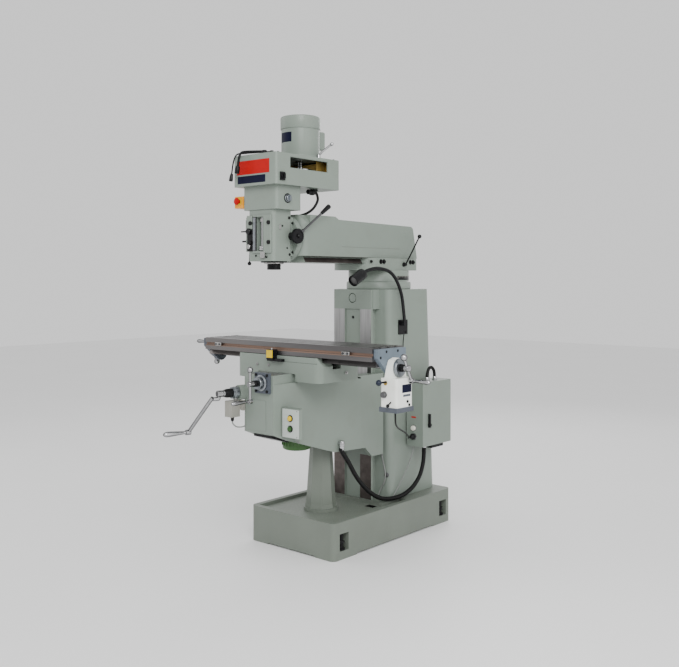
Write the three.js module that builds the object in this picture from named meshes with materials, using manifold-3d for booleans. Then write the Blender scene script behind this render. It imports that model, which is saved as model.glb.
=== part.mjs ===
// Turret milling machine: a ram-type vertical mill with a knee, saddle and table.
// Millimetres, +Z up. X runs along the table towards the power feed, Y from the operator to the column.
// The origin is on the floor, under the middle of the base.
import * as THREE from 'three';
import { mergeVertices } from 'three/addons/utils/BufferGeometryUtils.js';
import Module from 'manifold-3d';

const wasm = await Module();
wasm.setup();

// ---------- driving dimensions ----------
const GAP = 0.4;                 // clearance between neighbouring pieces
const BASE = { w: 640, d: 1110, h: 203, wall: 34, tray: 18, corner: 32 };
const COLUMN = { top: 1452, halfX: 212, front: 95, back: 500, wayFront: -22, wayHalf: 146, wayTop: 1335 };
const SCREW_Y = -303;            // elevating screw axis
const KNEE = { front: -800, frontHalf: 110, rearHalf: 185, top: 955, railTop: 1003, railHalf: 140 };
const Y_SCREW = { x: 40, z: 962 };
const Z_CRANK = { z: 898, lean: 14.3 };   // elevating shaft height, and its angle to the front
const Z_EYE = [195, 225];        // the elevating crank's eye, beside and below the shaft
const SADDLE = { halfX: 325, front: -665, back: -330, bottom: 963, top: 1097 };
const TABLE = { left: -600, right: 670, y: -534, half: 127, bottom: 1100, top: 1169 };
const X_SCREW_Z = 1068;
const NECK = { y: 232, r: 200, upperR: 188 };
const TURRET = { half: 170, front: -60, back: 425, bottom: 1567, floor: 1604, top: 1640 };
const RAM = { half: 135, front: -597, back: 452, bottom: 1606, skirt: 1642, top: 1868, rearTop: 1842 };
const SPINDLE_Y = -685;
const MOTOR_Y = -475;
const TILT_Z = 1739;             // head tilt axis
const HEAD = { half: 98, front: -789, back: -640, bottom: 1611, top: 1887 };
const GEARBOX = { half: 130, front: -796, back: -600, top: 2014 };
const BELT_BOX = { half: 165, front: -833, back: -325, bottom: 2014.5, top: 2182, wall: 8 };
const MOTOR = { r: 108, bottom: 2182.5, shoulder: 2356, top: 2434 };
const CABINET = { left: 231, right: 352, front: 215, back: 510, bottom: 508, top: 893 };

// ---------- materials ----------
const finish = (color, roughness, metalness) => ({ color, roughness, metalness });
const PAINT = finish(0x9aa498, 0.45, 0.0);
const STEEL = finish(0x8d8a86, 0.35, 1.0);
const CHROME = finish(0xd8dadd, 0.12, 1.0);
const BLACK = finish(0x17181a, 0.45, 0.0);
const GREY_CAST = finish(0x8b959c, 0.45, 0.2);
const IVORY = finish(0xe9ece8, 0.4, 0.0);
const GREEN = finish(0x4f7a3c, 0.45, 0.0);
const ORANGE = finish(0xe79a2c, 0.4, 0.0);
const RED = finish(0xc4201e, 0.35, 0.0);
const YELLOW = finish(0xd9bf2e, 0.4, 0.0);
const BRONZE = finish(0xb0843c, 0.4, 1.0);
const RUBBER = finish(0x1c1c1c, 0.7, 0.0);

const root = new THREE.Group();

function part(name, solid, look) {
  const mesh = solid.getMesh();
  const geometry = new THREE.BufferGeometry();
  geometry.setAttribute('position', new THREE.BufferAttribute(mesh.vertProperties, 3));
  geometry.setIndex(new THREE.BufferAttribute(mesh.triVerts, 1));
  geometry.computeVertexNormals();
  const object = new THREE.Mesh(geometry, new THREE.MeshStandardMaterial(look));
  object.name = name;
  root.add(object);
}

// ---------- solids ----------
function solid(geometry) {
  const bare = geometry.index ? geometry.toNonIndexed() : geometry;
  bare.deleteAttribute('normal');
  bare.deleteAttribute('uv');
  const merged = mergeVertices(bare, 1e-4);
  const mesh = new wasm.Mesh({
    numProp: 3,
    vertProperties: new Float32Array(merged.attributes.position.array),
    triVerts: new Uint32Array(merged.index.array),
  });
  return new wasm.Manifold(mesh);
}

const join = (...pieces) => pieces.reduce((a, b) => a.add(b));
const cut = (body, ...tools) => tools.reduce((a, b) => a.subtract(b), body);

function box(x0, x1, y0, y1, z0, z1) {
  const g = new THREE.BoxGeometry(x1 - x0, y1 - y0, z1 - z0);
  return solid(g.translate((x0 + x1) / 2, (y0 + y1) / 2, (z0 + z1) / 2));
}

// Cylinder or cone between two points.
function rod(from, to, r0, r1 = r0, sides = 16) {
  const a = new THREE.Vector3(...from);
  const b = new THREE.Vector3(...to);
  const g = new THREE.CylinderGeometry(r1, r0, a.distanceTo(b), sides);
  const turn = new THREE.Quaternion().setFromUnitVectors(
    new THREE.Vector3(0, 1, 0), b.clone().sub(a).normalize());
  g.applyQuaternion(turn);
  const middle = a.add(b).multiplyScalar(0.5);
  return solid(g.translate(middle.x, middle.y, middle.z));
}

function ball(at, r, sides = 10) {
  return solid(new THREE.SphereGeometry(r, sides, sides / 2).translate(...at));
}

function outline(points) {
  return new THREE.Shape(points.map(([u, v]) => new THREE.Vector2(u, v)));
}

// Outline in X and Y, raised along Z.
function raise(shape, z0, z1, curveSegments = 4) {
  const g = new THREE.ExtrudeGeometry(shape, { depth: z1 - z0, bevelEnabled: false, curveSegments });
  return solid(g.translate(0, 0, z0));
}

// Outline in Y and Z, pushed along X.
function pushX(shape, x0, x1, curveSegments = 4) {
  const g = new THREE.ExtrudeGeometry(shape, { depth: x1 - x0, bevelEnabled: false, curveSegments });
  g.applyMatrix4(new THREE.Matrix4().set(0, 0, 1, x0, 1, 0, 0, 0, 0, 1, 0, 0, 0, 0, 0, 1));
  return solid(g);
}

// Outline in X and Z, pushed along Y.
function pushY(shape, y0, y1, curveSegments = 4) {
  const g = new THREE.ExtrudeGeometry(shape, { depth: y1 - y0, bevelEnabled: false, curveSegments });
  g.applyMatrix4(new THREE.Matrix4().set(1, 0, 0, 0, 0, 0, -1, y1, 0, 1, 0, 0, 0, 0, 0, 1));
  return solid(g);
}

function roundedRect(x0, x1, y0, y1, r) {
  const s = new THREE.Shape();
  s.moveTo(x0 + r, y0);
  s.lineTo(x1 - r, y0);
  s.absarc(x1 - r, y0 + r, r, -Math.PI / 2, 0);
  s.lineTo(x1, y1 - r);
  s.absarc(x1 - r, y1 - r, r, 0, Math.PI / 2);
  s.lineTo(x0 + r, y1);
  s.absarc(x0 + r, y1 - r, r, Math.PI / 2, Math.PI);
  s.lineTo(x0, y0 + r);
  s.absarc(x0 + r, y0 + r, r, Math.PI, Math.PI * 1.5);
  return s;
}

function tube(points, r, sides, steps) {
  const path = new THREE.CatmullRomCurve3(points.map((p) => new THREE.Vector3(...p)), false, 'centripetal');
  const ring = [];
  for (let i = 0; i < sides; i += 1) {
    const a = (i / sides) * Math.PI * 2;
    ring.push([r * Math.cos(a), r * Math.sin(a)]);
  }
  const g = new THREE.ExtrudeGeometry(outline(ring), { steps, extrudePath: path, bevelEnabled: false });
  return solid(g);
}

// Round profile turned about a vertical axis at x, y: rows of radius and height.
function turned(x, y, rows, sides = 24) {
  const profile = rows.map(([r, z]) => new THREE.Vector2(r, z));
  const g = new THREE.LatheGeometry(profile, sides);
  g.applyMatrix4(new THREE.Matrix4().set(1, 0, 0, x, 0, 0, -1, y, 0, 1, 0, 0, 0, 0, 0, 1));
  return solid(g);
}

// ---------- base, column and pedestal ----------
function baseCasting() {
  const { w, d, h, wall, tray, corner } = BASE;
  const hx = w / 2;
  const hy = d / 2;
  let body = raise(roundedRect(-hx, hx, -hy, hy, corner), 0, h);
  const pad = box(-236, 236, -40, hy, h - tray - 1, h + 1);
  const pocket = cut(box(-hx + wall, hx - wall, -hy + wall, 140, h - tray, h + 1), pad);
  body = cut(body, pocket);
  const rib = 60;
  for (const sx of [-1, 1]) {
    for (const sy of [-1, 1]) {
      const xs = [sx * rib / 2, sx * (hx - wall)].sort((a, b) => a - b);
      const ys = [sy * rib / 2, sy * (hy - wall)].sort((a, b) => a - b);
      body = cut(body, box(xs[0], xs[1], ys[0], ys[1], -1, h - tray - 32));
      const y = sy * 468;
      const x = sx * (hx - 26);
      const lug = box(x - 42, x + 20, y - 49, y + 49, 34, h - tray - 30);
      body = join(body, lug.intersect(box(-hx, hx, -hy, hy, 0, h)));
      body = cut(body, box(x - 30, x + 30, y - 37, y + 37, 46, 140));
    }
    // the skirt is lifted off the floor between the corner feet
    body = cut(body, box(sx * hx - 40, sx * hx + 40, -360, 360, -1, 8));
    body = cut(body, box(-180, 180, sx * hy - 40, sx * hy + 40, -1, 8));
  }
  return cut(body, rod([0, SCREW_Y, 100], [0, SCREW_Y, h], 33), box(150, 215, -95, -45, 120, 190));
}

// The body widens a little towards the floor; the ways stay straight.
function taper(geometry) {
  const p = geometry.attributes.position;
  for (let i = 0; i < p.count; i += 1) {
    const share = (COLUMN.top - p.getZ(i)) / (COLUMN.top - BASE.h);
    if (Math.abs(p.getX(i)) > COLUMN.wayHalf + 4) p.setX(i, p.getX(i) * (1 + 0.07 * share));
    if (p.getY(i) > 300) p.setY(i, p.getY(i) + 42 * share);
  }
  return geometry;
}

function columnCasting() {
  const { top, halfX, front, back, wayFront, wayHalf, wayTop } = COLUMN;
  const s = new THREE.Shape();
  s.moveTo(-wayHalf, wayFront);
  s.lineTo(wayHalf, wayFront);
  s.lineTo(wayHalf, -8);
  s.lineTo(118, 24);
  s.lineTo(118, 48);
  s.lineTo(halfX - 40, 60);
  s.absarc(halfX - 40, front + 5, 40, -Math.PI / 2, 0);
  s.lineTo(halfX, back - 70);
  s.absarc(halfX - 70, back - 70, 70, 0, Math.PI / 2);
  s.lineTo(-halfX + 70, back);
  s.absarc(-halfX + 70, back - 70, 70, Math.PI / 2, Math.PI);
  s.lineTo(-halfX, front + 5);
  s.absarc(-halfX + 40, front + 5, 40, Math.PI, Math.PI * 1.5);
  s.lineTo(-118, 48);
  s.lineTo(-118, 24);
  s.lineTo(-wayHalf, -8);
  const g = new THREE.ExtrudeGeometry(s, { depth: top - BASE.h - GAP, bevelEnabled: false, curveSegments: 4 });
  let body = solid(taper(g.translate(0, 0, BASE.h + GAP)));
  body = cut(body, box(-60, 60, wayFront - 5, wayFront + 9, BASE.h - 5, wayTop));
  for (const sx of [-1, 1]) {
    // the undercut beside each way stops at its top
    const filler = box(Math.min(sx * 117, sx * 150), Math.max(sx * 117, sx * 150), -8, 70, wayTop, top);
    body = join(body, filler);
  }
  body = cut(body, box(-180, 180, 80, 462, BASE.h - 5, top - 45));
  body = cut(body, rod([0, wayFront + 22, 1400], [0, wayFront - 5, 1400], 30, 30, 22));
  return join(body, rod([0, wayFront + 24, 1400], [0, wayFront + 2, 1400], 25, 25, 22));
}

function pedestal() {
  const z = BASE.h - BASE.tray + GAP;
  const flange = rod([0, SCREW_Y, z], [0, SCREW_Y, z + 16], 100, 100, 22);
  const foot = rod([0, SCREW_Y, z + 16], [0, SCREW_Y, z + 40], 92, 88, 8);
  const shaft = rod([0, SCREW_Y, z + 40], [0, SCREW_Y, 560], 86, 64, 8);
  return cut(join(flange, foot, shaft), rod([0, SCREW_Y, 100], [0, SCREW_Y, 600], 30));
}

function elevatingNut() {
  const ring = rod([0, SCREW_Y, 560 + GAP], [0, SCREW_Y, 588], 46);
  return cut(ring, rod([0, SCREW_Y, 500], [0, SCREW_Y, 600], 19.5));
}

part('base_casting', baseCasting(), PAINT);
part('column_casting', columnCasting(), PAINT);
part('screw_pedestal', pedestal(), PAINT);
part('elevating_nut', elevatingNut(), BRONZE);

// ---------- electrical cabinet ----------
function cabinetBox() {
  const { left, right, front, back, bottom, top } = CABINET;
  const sheet = 4;
  const shell = box(left, right - 10, front, back, bottom, top);
  const hollow = box(left + sheet, right, front + sheet, back - sheet, bottom + sheet, top - sheet);
  const spacers = [];
  for (const z of [bottom + 40, top - 60]) {
    spacers.push(box(224.5, left + 1, front + 60, back - 60, z, z + 30));
  }
  const buttonHole = rod([284, front - 5, 617], [284, front + 10, 617], 16.5, 16.5, 20);
  return join(cut(shell, hollow, buttonHole), ...spacers);
}

function cabinetDoor() {
  const { right, front, back, bottom, top } = CABINET;
  return box(right - 10 + GAP, right, front, back, bottom, top);
}

function doorLatch() {
  const x = CABINET.right;
  return join(box(x + GAP, x + 14, 268, 280, 620, 702), rod([x + GAP, 274, 636], [x + 18, 274, 636], 9, 9, 12));
}

part('cabinet_box', cabinetBox(), PAINT);
part('cabinet_door', cabinetDoor(), PAINT);
part('door_latch', doorLatch(), BLACK);
part('cabinet_button', rod([284, CABINET.front - GAP, 617], [284, CABINET.front - 14, 617], 15, 14, 14), IVORY);

// ---------- knee and its drives ----------
function kneeCasting() {
  const { front, frontHalf, rearHalf, top, railTop, railHalf } = KNEE;
  const plan = [
    [-frontHalf, front], [frontHalf, front], [rearHalf, -150], [rearHalf, 44], [119.5, 44], [119.5, 24.8],
    [147, -7.4], [147, -22 - GAP], [-147, -22 - GAP], [-147, -7.4], [-119.5, 24.8], [-119.5, 44],
    [-rearHalf, 44], [-rearHalf, -150],
  ];
  const side = [
    [front - 5, 690], [front - 5, top], [50, top], [50, 475], [-62, 475], [-125, 535], [-365, 541], [-690, 645],
  ];
  let body = raise(outline(plan), 440, top).intersect(pushX(outline(side), -300, 300));
  const inner = [[-86, front + 26], [86, front + 26], [160, -150], [160, -52], [-160, -52], [-160, -150]];
  body = cut(body, raise(outline(inner), 400, 925));
  body = join(body, box(-frontHalf, frontHalf, front, -140, top - 1, railTop),
    box(-railHalf, railHalf, -640, -50, top - 1, railTop));
  body = cut(body, box(Y_SCREW.x - 28, Y_SCREW.x + 28, -672, -130, 936, railTop + 5));
  body = cut(body, rod([Y_SCREW.x, front - 20, Y_SCREW.z], [Y_SCREW.x, -660, Y_SCREW.z], 15));
  // boss on the left corner for the elevating shaft
  body = join(body, rod(alongZShaft(440), alongZShaft(542), 40, 40, 18));
  body = cut(body, rod(alongZShaft(0), alongZShaft(560), 13.5));
  // elbow that the conduit hangs from
  body = join(body, rod([140, -330, 588], [182, -330, 588], 12), rod([182, -330, 602], [182, -330, 573], 15));
  return cut(body, rod([0, SCREW_Y, 880], [0, SCREW_Y, 980], 21));
}

// Point on the elevating shaft's axis, at a distance from the screw towards the operator.
function alongZShaft(t, side = 0, drop = 0) {
  const a = THREE.MathUtils.degToRad(Z_CRANK.lean);
  const x = -Math.sin(a) * t - Math.cos(a) * side;
  const y = SCREW_Y - Math.cos(a) * t + Math.sin(a) * side;
  return [x, y, Z_CRANK.z - drop];
}

function elevatingScrew() {
  const shaft = rod([0, SCREW_Y, 212], [0, SCREW_Y, 948], 18);
  return join(shaft, rod([0, SCREW_Y, 862], [0, SCREW_Y, 884], 44, 30, 22));
}

function elevatingCrank() {
  const shaft = rod(alongZShaft(24), alongZShaft(640), 11);
  const pinion = rod(alongZShaft(26), alongZShaft(41), 12, 17, 16);
  const dial = rod(alongZShaft(545), alongZShaft(582), 33, 31, 24);
  const hub = rod(alongZShaft(581), alongZShaft(626), 24, 20, 18);
  const clutch = rod(alongZShaft(625), alongZShaft(668), 18, 18, 16);
  const low = 28;
  const stub = rod(alongZShaft(655, 0, 0), alongZShaft(655, 8, low), 12, 11, 12);
  const bar = rod(alongZShaft(655, 8, low), alongZShaft(692, 12, low), 11, 11, 12);
  const arm = rod(alongZShaft(692, 12, low), alongZShaft(743, ...Z_EYE), 10, 10, 12);
  const eye = rod(alongZShaft(730, ...Z_EYE), alongZShaft(760, ...Z_EYE), 15, 15, 14);
  const knuckles = [ball(alongZShaft(655, 8, low), 12.5), ball(alongZShaft(692, 12, low), 11.5)];
  return join(shaft, pinion, dial, hub, clutch, stub, bar, arm, eye, ...knuckles);
}

function elevatingGrip() {
  const from = alongZShaft(760 + GAP, ...Z_EYE);
  const towards = new THREE.Vector3(...alongZShaft(1)).sub(new THREE.Vector3(...alongZShaft(0)));
  return handGrip(from, towards.toArray(), 130, 15);
}

function elevationMotor() {
  const y = -505;
  const body = rod([0, y, 560], [0, y, 770], 80, 80, 22);
  return join(body, rod([0, y, 770], [0, y, 925 - GAP], 38, 38, 16));
}

const BUTTON_HEIGHTS = [779, 724];

function controlBox() {
  const plan = [[122, -745], [250, -745], [250, -725], [150, -655], [131, -655]];
  const side = [[-746, 674], [-746, 830], [-700, 830], [-650, 800], [-650, 674]];
  const body = raise(outline(plan), 674, 830).intersect(pushX(outline(side), 100, 300));
  const holes = BUTTON_HEIGHTS.map((z) => rod([184, -730, z], [184, -760, z], 14.5, 14.5, 16));
  return cut(body, ...holes);
}

function pushButton(z) {
  return rod([184, -738, z], [184, -758, z], 13, 12, 14);
}

function interlockSwitch() {
  const plate = [[-104, 856], [-176, 856], [-176, 848], [-128, 800], [-104, 800]];
  return join(pushY(outline(plate), -813, -800 - GAP), box(-190, -134, -872, -812, 765, 852),
    rod([-162, -842, 766], [-162, -842, 744], 9, 8, 12));
}

function crossScrewBracket() {
  const { x, z } = Y_SCREW;
  const y = KNEE.front - GAP;
  const plate = box(x - 54, x + 54, y - 16, y, z - 56, z + 54);
  const boss = rod([x, y - 16, z], [x, y - 30, z], 36, 34, 22);
  return cut(join(plate, boss), rod([x, y + 5, z], [x, y - 60, z], 13));
}

function crossScrew() {
  const { x, z } = Y_SCREW;
  const screw = rod([x, -140, z], [x, -905, z], 11);
  const dial = rod([x, -832, z], [x, -856, z], 32, 30, 22);
  const collar = rod([x, -856, z], [x, -880, z], 17, 15, 16);
  const hub = rod([x, -880, z], [x, -914, z], 14, 14, 14);
  const top = rod([x, -900, z], [x, -900, z + 74], 9, 7, 12);
  const low = rod([x, -900, z], [x, -900, z - 88], 9, 8, 12);
  const eye = rod([x, -890, z - 90], [x, -912, z - 90], 13, 13, 14);
  return join(screw, dial, collar, hub, top, low, eye, ball([x, -900, z + 76], 16));
}

function handGrip(from, towards, length, thick) {
  const a = new THREE.Vector3(...from);
  const d = new THREE.Vector3(...towards);
  const at = (t) => a.clone().addScaledVector(d, t * length).toArray();
  return join(
    rod(at(0), at(0.26), thick * 0.6, thick * 0.7, 14),
    rod(at(0.25), at(0.8), thick * 0.7, thick, 14),
    rod(at(0.79), at(1), thick, thick * 0.6, 14),
  );
}

part('knee_casting', kneeCasting(), PAINT);
part('elevating_screw', elevatingScrew(), STEEL);
part('elevating_crank', elevatingCrank(), CHROME);
part('elevating_crank_grip', elevatingGrip(), CHROME);
part('elevation_motor', elevationMotor(), GREEN);
part('control_box', controlBox(), IVORY);
part('up_button', pushButton(BUTTON_HEIGHTS[0]), YELLOW);
part('down_button', pushButton(BUTTON_HEIGHTS[1]), GREEN);
part('interlock_switch', interlockSwitch(), IVORY);
part('cross_screw_bracket', crossScrewBracket(), GREY_CAST);
part('cross_screw', crossScrew(), CHROME);
part('cross_crank_grip', handGrip([Y_SCREW.x, -912 - GAP, Y_SCREW.z - 90], [0, -1, 0], 118, 12), CHROME);

// ---------- saddle ----------
function saddleCasting() {
  const { halfX, front, back, bottom, top } = SADDLE;
  const end = [
    [-halfX, bottom], [-halfX, top - 47], [-halfX + 28, top],
    [halfX - 28, top], [halfX, top - 47], [halfX, bottom],
  ];
  let body = raise(roundedRect(-halfX, halfX, front, back, 46), bottom, top)
    .intersect(pushY(outline(end), front - 5, back + 5));
  const rail = KNEE.railHalf + 3;
  body = cut(body, box(-rail, rail, front - 5, back + 5, bottom - 5, KNEE.railTop + GAP));
  const slot = [[-87, top + 1], [-101.5, 1071.5], [101.5, 1071.5], [87, top + 1]];
  body = cut(body, pushX(outline(slot.map(([v, z]) => [TABLE.y + v, z])), -400, 400));
  return cut(body, box(-400, 400, TABLE.y - 33, TABLE.y + 33, 1034, top + 1));
}

function tableNut() {
  const { y } = TABLE;
  const block = box(-45, 45, y - 30, y + 30, 1034 + GAP, 1094);
  return cut(block, rod([-60, y, X_SCREW_Z], [60, y, X_SCREW_Z], 15));
}

function crossNut() {
  const { x, z } = Y_SCREW;
  return cut(box(x - 20, x + 20, -560, -500, 938, KNEE.railTop), rod([x, -570, z], [x, -490, z], 12));
}

const PLUNGER = [-20, -682];     // the limit plunger's axis in X and Y

function limitSwitch() {
  const back = SADDLE.front - GAP;
  const body = join(box(-44, 4, -700, back, 1074, 1128), box(-50, 62, -690, back, 1066, 1080));
  return cut(body, rod([...PLUNGER, 1112], [...PLUNGER, 1135], 6.5, 6.5, 14));
}

part('saddle_casting', saddleCasting(), PAINT);
part('table_nut', tableNut(), BRONZE);
part('cross_nut', crossNut(), BRONZE);
part('limit_switch', limitSwitch(), YELLOW);
part('limit_plunger', rod([...PLUNGER, 1120], [...PLUNGER, 1138], 5, 5, 10), STEEL);

// ---------- table ----------
const T_SLOTS = [-64, 0, 64];

function tableBody() {
  const { left, right, y, half, bottom, top } = TABLE;
  let body = box(left, right, y - half, y + half, bottom, top);
  const tail = [[-84, bottom + 1], [-100, 1072], [100, 1072], [84, bottom + 1]];
  body = join(body, pushX(outline(tail.map(([v, z]) => [y + v, z])), left, right));
  body = cut(body, box(left - 5, right + 5, y - 36, y + 36, 1060, bottom - 2));
  for (const offset of T_SLOTS) {
    body = cut(body, box(left - 5, right + 5, y + offset - 8, y + offset + 8, top - 20, top + 5));
    body = cut(body, box(left - 5, right + 5, y + offset - 14, y + offset + 14, top - 34, top - 19));
  }
  // groove for the stop dogs along the front edge
  body = cut(body, box(left - 5, right + 5, y - half - 5, y - half + 9, 1128, 1142));
  for (const x of [left + 26, right - 26]) {
    body = cut(body, box(x - 9, x + 9, y - half + 16, y + half - 16, top - 12, top + 5));
  }
  return body;
}

function endBracket(x0, x1) {
  const { y } = TABLE;
  const rows = [[-115, 1163], [-115, 1118], [-46, 1050], [46, 1050], [115, 1118], [115, 1163]];
  const plate = pushX(outline(rows.map(([v, z]) => [y + v, z])), x0, x1);
  const hub = rod([x0, y, X_SCREW_Z], [x1, y, X_SCREW_Z], 43, 43, 22);
  return cut(join(plate, hub), rod([x0 - 5, y, X_SCREW_Z], [x1 + 5, y, X_SCREW_Z], 15));
}

// A ball crank on the table screw: side +1 is the right end, -1 the left.
const CRANK_TILT = THREE.MathUtils.degToRad(30);

function crankPoint(x, radius) {
  return [x, TABLE.y + Math.sin(CRANK_TILT) * radius, X_SCREW_Z - Math.cos(CRANK_TILT) * radius];
}

function tableScrew() {
  const { y } = TABLE;
  const z = X_SCREW_Z;
  const screw = rod([-688, y, z], [806, y, z], 12.5);
  const rightDial = rod([738 + GAP, y, z], [756, y, z], 47, 45, 32);
  const leftDial = rod([-632, y, z], [-652, y, z], 33, 31, 24);
  const pieces = [screw, rightDial, leftDial];
  for (const [x, side] of [[793, 1], [-676, -1]]) {
    pieces.push(rod([x - 14, y, z], [x + 14, y, z], 17, 17, 14));
    pieces.push(rod([x, y, z], crankPoint(x, 74 * side), 10, 8, 12));
    pieces.push(rod([x, y, z], crankPoint(x + 4 * side, -66 * side), 10, 8, 12));
    pieces.push(ball(crankPoint(x + 4 * side, -66 * side), 18));
    pieces.push(rod(crankPoint(x - 11, 76 * side), crankPoint(x + 11, 76 * side), 13, 13, 14));
  }
  return join(...pieces);
}

function powerFeed() {
  const { y } = TABLE;
  const plan = roundedRect(672, 778, y - 67, y + 67, 14);
  const body = join(raise(plan, 860, 1018, 4), raise(roundedRect(669, 780, y - 71, y + 71, 14), 848, 871, 4));
  const neckSide = [[-67, 1017], [-52, 1070], [-36, 1106], [0, 1118], [36, 1106], [52, 1070], [67, 1017]];
  const neck = pushX(outline(neckSide.map(([v, z]) => [y + v, z])), 700, 738);
  return cut(join(body, neck), rod([690, y, X_SCREW_Z], [745, y, X_SCREW_Z], 15));
}

part('table', tableBody(), STEEL);
part('right_end_bracket', endBracket(TABLE.right + GAP, TABLE.right + 28), GREY_CAST);
part('left_end_bracket', endBracket(TABLE.left - 28, TABLE.left - GAP), GREY_CAST);
part('table_screw', tableScrew(), CHROME);
part('right_crank_grip', handGrip(crankPoint(804 + GAP, 76), [1, 0, 0], 100, 12), CHROME);
part('left_crank_grip', handGrip(crankPoint(-687 - GAP, -76), [-1, 0, 0], 92, 12), CHROME);
part('power_feed', powerFeed(), IVORY);
part('feed_speed_knob', rod([700, TABLE.y - 67 - GAP, 935], [700, TABLE.y - 86, 935], 17, 15, 14), CHROME);
part('feed_lever', join(
  rod([716, TABLE.y - 71, 1000], [702, TABLE.y - 108, 998], 5, 5, 10),
  ball([700, TABLE.y - 112, 998], 16),
), BLACK);

// ---------- turret and ram ----------
function turretNeck() {
  const { y, r, upperR } = NECK;
  const z = COLUMN.top + GAP;
  const lower = rod([0, y, z], [0, y, 1500], r, r, 36);
  return join(lower, rod([0, y, 1500], [0, y, TURRET.bottom - GAP], upperR, upperR, 36));
}

const DOVETAIL = { top: 1640, wide: 112, narrow: 90 };

function turretSaddle() {
  const { half, front, back, bottom, floor, top } = TURRET;
  const s = new THREE.Shape();
  s.moveTo(-half + 110, front);
  s.lineTo(half - 110, front);
  s.absarc(half - 110, front + 110, 110, -Math.PI / 2, 0);
  s.lineTo(half, back - 40);
  s.absarc(half - 40, back - 40, 40, 0, Math.PI / 2);
  s.lineTo(-half + 40, back);
  s.absarc(-half + 40, back - 40, 40, Math.PI / 2, Math.PI);
  s.lineTo(-half, front + 110);
  s.absarc(-half + 110, front + 110, 110, Math.PI, Math.PI * 1.5);
  const body = raise(s, bottom, top);
  const channel = [
    [-DOVETAIL.narrow - 2.5, top + 1], [-DOVETAIL.wide - 2.5, floor], [DOVETAIL.wide + 2.5, floor],
    [DOVETAIL.narrow + 2.5, top + 1],
  ];
  return cut(body, pushY(outline(channel), front - 5, back + 5));
}

function ramLockLever() {
  const x = TURRET.half + GAP;
  return join(
    rod([x, 265, 1603], [x + 22, 265, 1603], 13, 13, 14),
    rod([x + 14, 265, 1603], [x + 20, 398, 1772], 4.5, 4.5, 10),
    ball([x + 20, 404, 1780], 13),
  );
}

function ramCasting() {
  const { half, front, back, bottom, skirt, top, rearTop } = RAM;
  const side = [
    [front, skirt], [front, top], [-330, top], [-300, top - 16], [back - 62, rearTop],
    [back - 42, rearTop - 12], [back, skirt + 6], [back, skirt],
  ];
  let body = pushX(outline(side), -half, half);
  body = body.intersect(raise(roundedRect(-half, half, front, back + 40, 46), 1500, 1900));
  const tail = [
    [-DOVETAIL.narrow, skirt + 1], [-DOVETAIL.wide, bottom],
    [DOVETAIL.wide, bottom], [DOVETAIL.narrow, skirt + 1],
  ];
  body = join(body, pushY(outline(tail), front + 46, back - 20));
  // the upper front corners are rounded off, so that the feed lever passes them as the head tilts
  const y0 = front - 5;
  const y1 = front + 57;
  const corner = cut(box(-half - 5, half + 5, y0, y1, TILT_Z + 1, top + 5),
    rod([0, y0 - 5, TILT_Z], [0, y1 + 5, TILT_Z], 158, 158, 36));
  body = cut(body, corner);
  return cut(body, box(-half + 26, half - 26, front + 70, back - 90, skirt + 28, rearTop - 26),
    box(-50, 50, back - 100, back + 10, 1700, 1790));
}

part('turret_neck', turretNeck(), PAINT);
part('turret_saddle', turretSaddle(), PAINT);
part('ram_lock_lever', ramLockLever(), BLACK);
part('ram_casting', ramCasting(), PAINT);

// ---------- head ----------
function headCasting() {
  const { half, front, back, bottom, top } = HEAD;
  let body = raise(roundedRect(-half, half, front, back, 24), bottom, top);
  const flange = rod([0, -626, TILT_Z], [0, RAM.front - 3, TILT_Z], 128, 134, 36);
  const left = -half + 1;
  body = join(body, box(-86, 86, back - 30, -625, 1640, 1850), flange,
    box(left - 31, left, -772, -700, 1664, 1850), box(left - 45, left - 20, -762, -722, 1790, 1838));
  body = cut(body, rod([0, SPINDLE_Y, bottom - 5], [0, SPINDLE_Y, top + 5], 54, 54, 22));
  // window in front for the depth stop
  return cut(body, box(-24, 30, front - 5, front + 60, 1666, 1846));
}

function quill() {
  const sleeve = rod([0, SPINDLE_Y, 1596], [0, SPINDLE_Y, 1848], 53, 53, 22);
  const lug = box(-6, 14, -782, SPINDLE_Y - 40, 1822, 1840);
  return cut(join(sleeve, lug), rod([0, SPINDLE_Y, 1590], [0, SPINDLE_Y, 1860], 34, 34, 22));
}

function spindle() {
  const nose = turned(0, SPINDLE_Y, [[0, 1565], [36, 1565], [38, 1569], [38, 1595], [33, 1596], [33, 1852],
    [24, 1853], [24, 2110], [0, 2110]], 22);
  return cut(nose, rod([0, SPINDLE_Y, 1560], [0, SPINDLE_Y, 1640], 22, 12, 18));
}

function quillFeedHub() {
  const x = HEAD.half + GAP;
  const y = -652;
  const z = 1746;
  const drum = rod([x, y, z], [x + 39, y, z], 22, 22, 18);
  const cap = rod([x + 38, y, z], [x + 60, y, z], 41, 39, 24);
  const button = rod([x + 59, y, z], [x + 68, y, z], 11, 9, 14);
  const arm = rod([x + 46, y, z], [x + 84, y + 152, z + 128], 6.5, 6.5, 10);
  const grip = rod([x + 84, y + 152, z + 128], [x + 98, y + 206, z + 174], 8, 13, 18);
  return join(drum, cap, button, arm, grip);
}

function feedTripLever() {
  const x = -HEAD.half - 30 - GAP;
  return join(rod([x, -738, 1676], [x - 14, -738, 1676], 9, 9, 12),
    rod([x - 8, -738, 1676], [x - 8, -742, 1606], 4, 4, 10), ball([x - 8, -742, 1600], 11));
}

function fineFeedKnob() {
  const x = -HEAD.half - 30 - GAP;
  const wheel = rod([x, -742, 1722], [x - 18, -742, 1722], 19, 19, 16);
  return join(wheel, rod([x - 18, -742, 1722], [x - 62, -742, 1722], 5, 5, 10));
}

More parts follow.
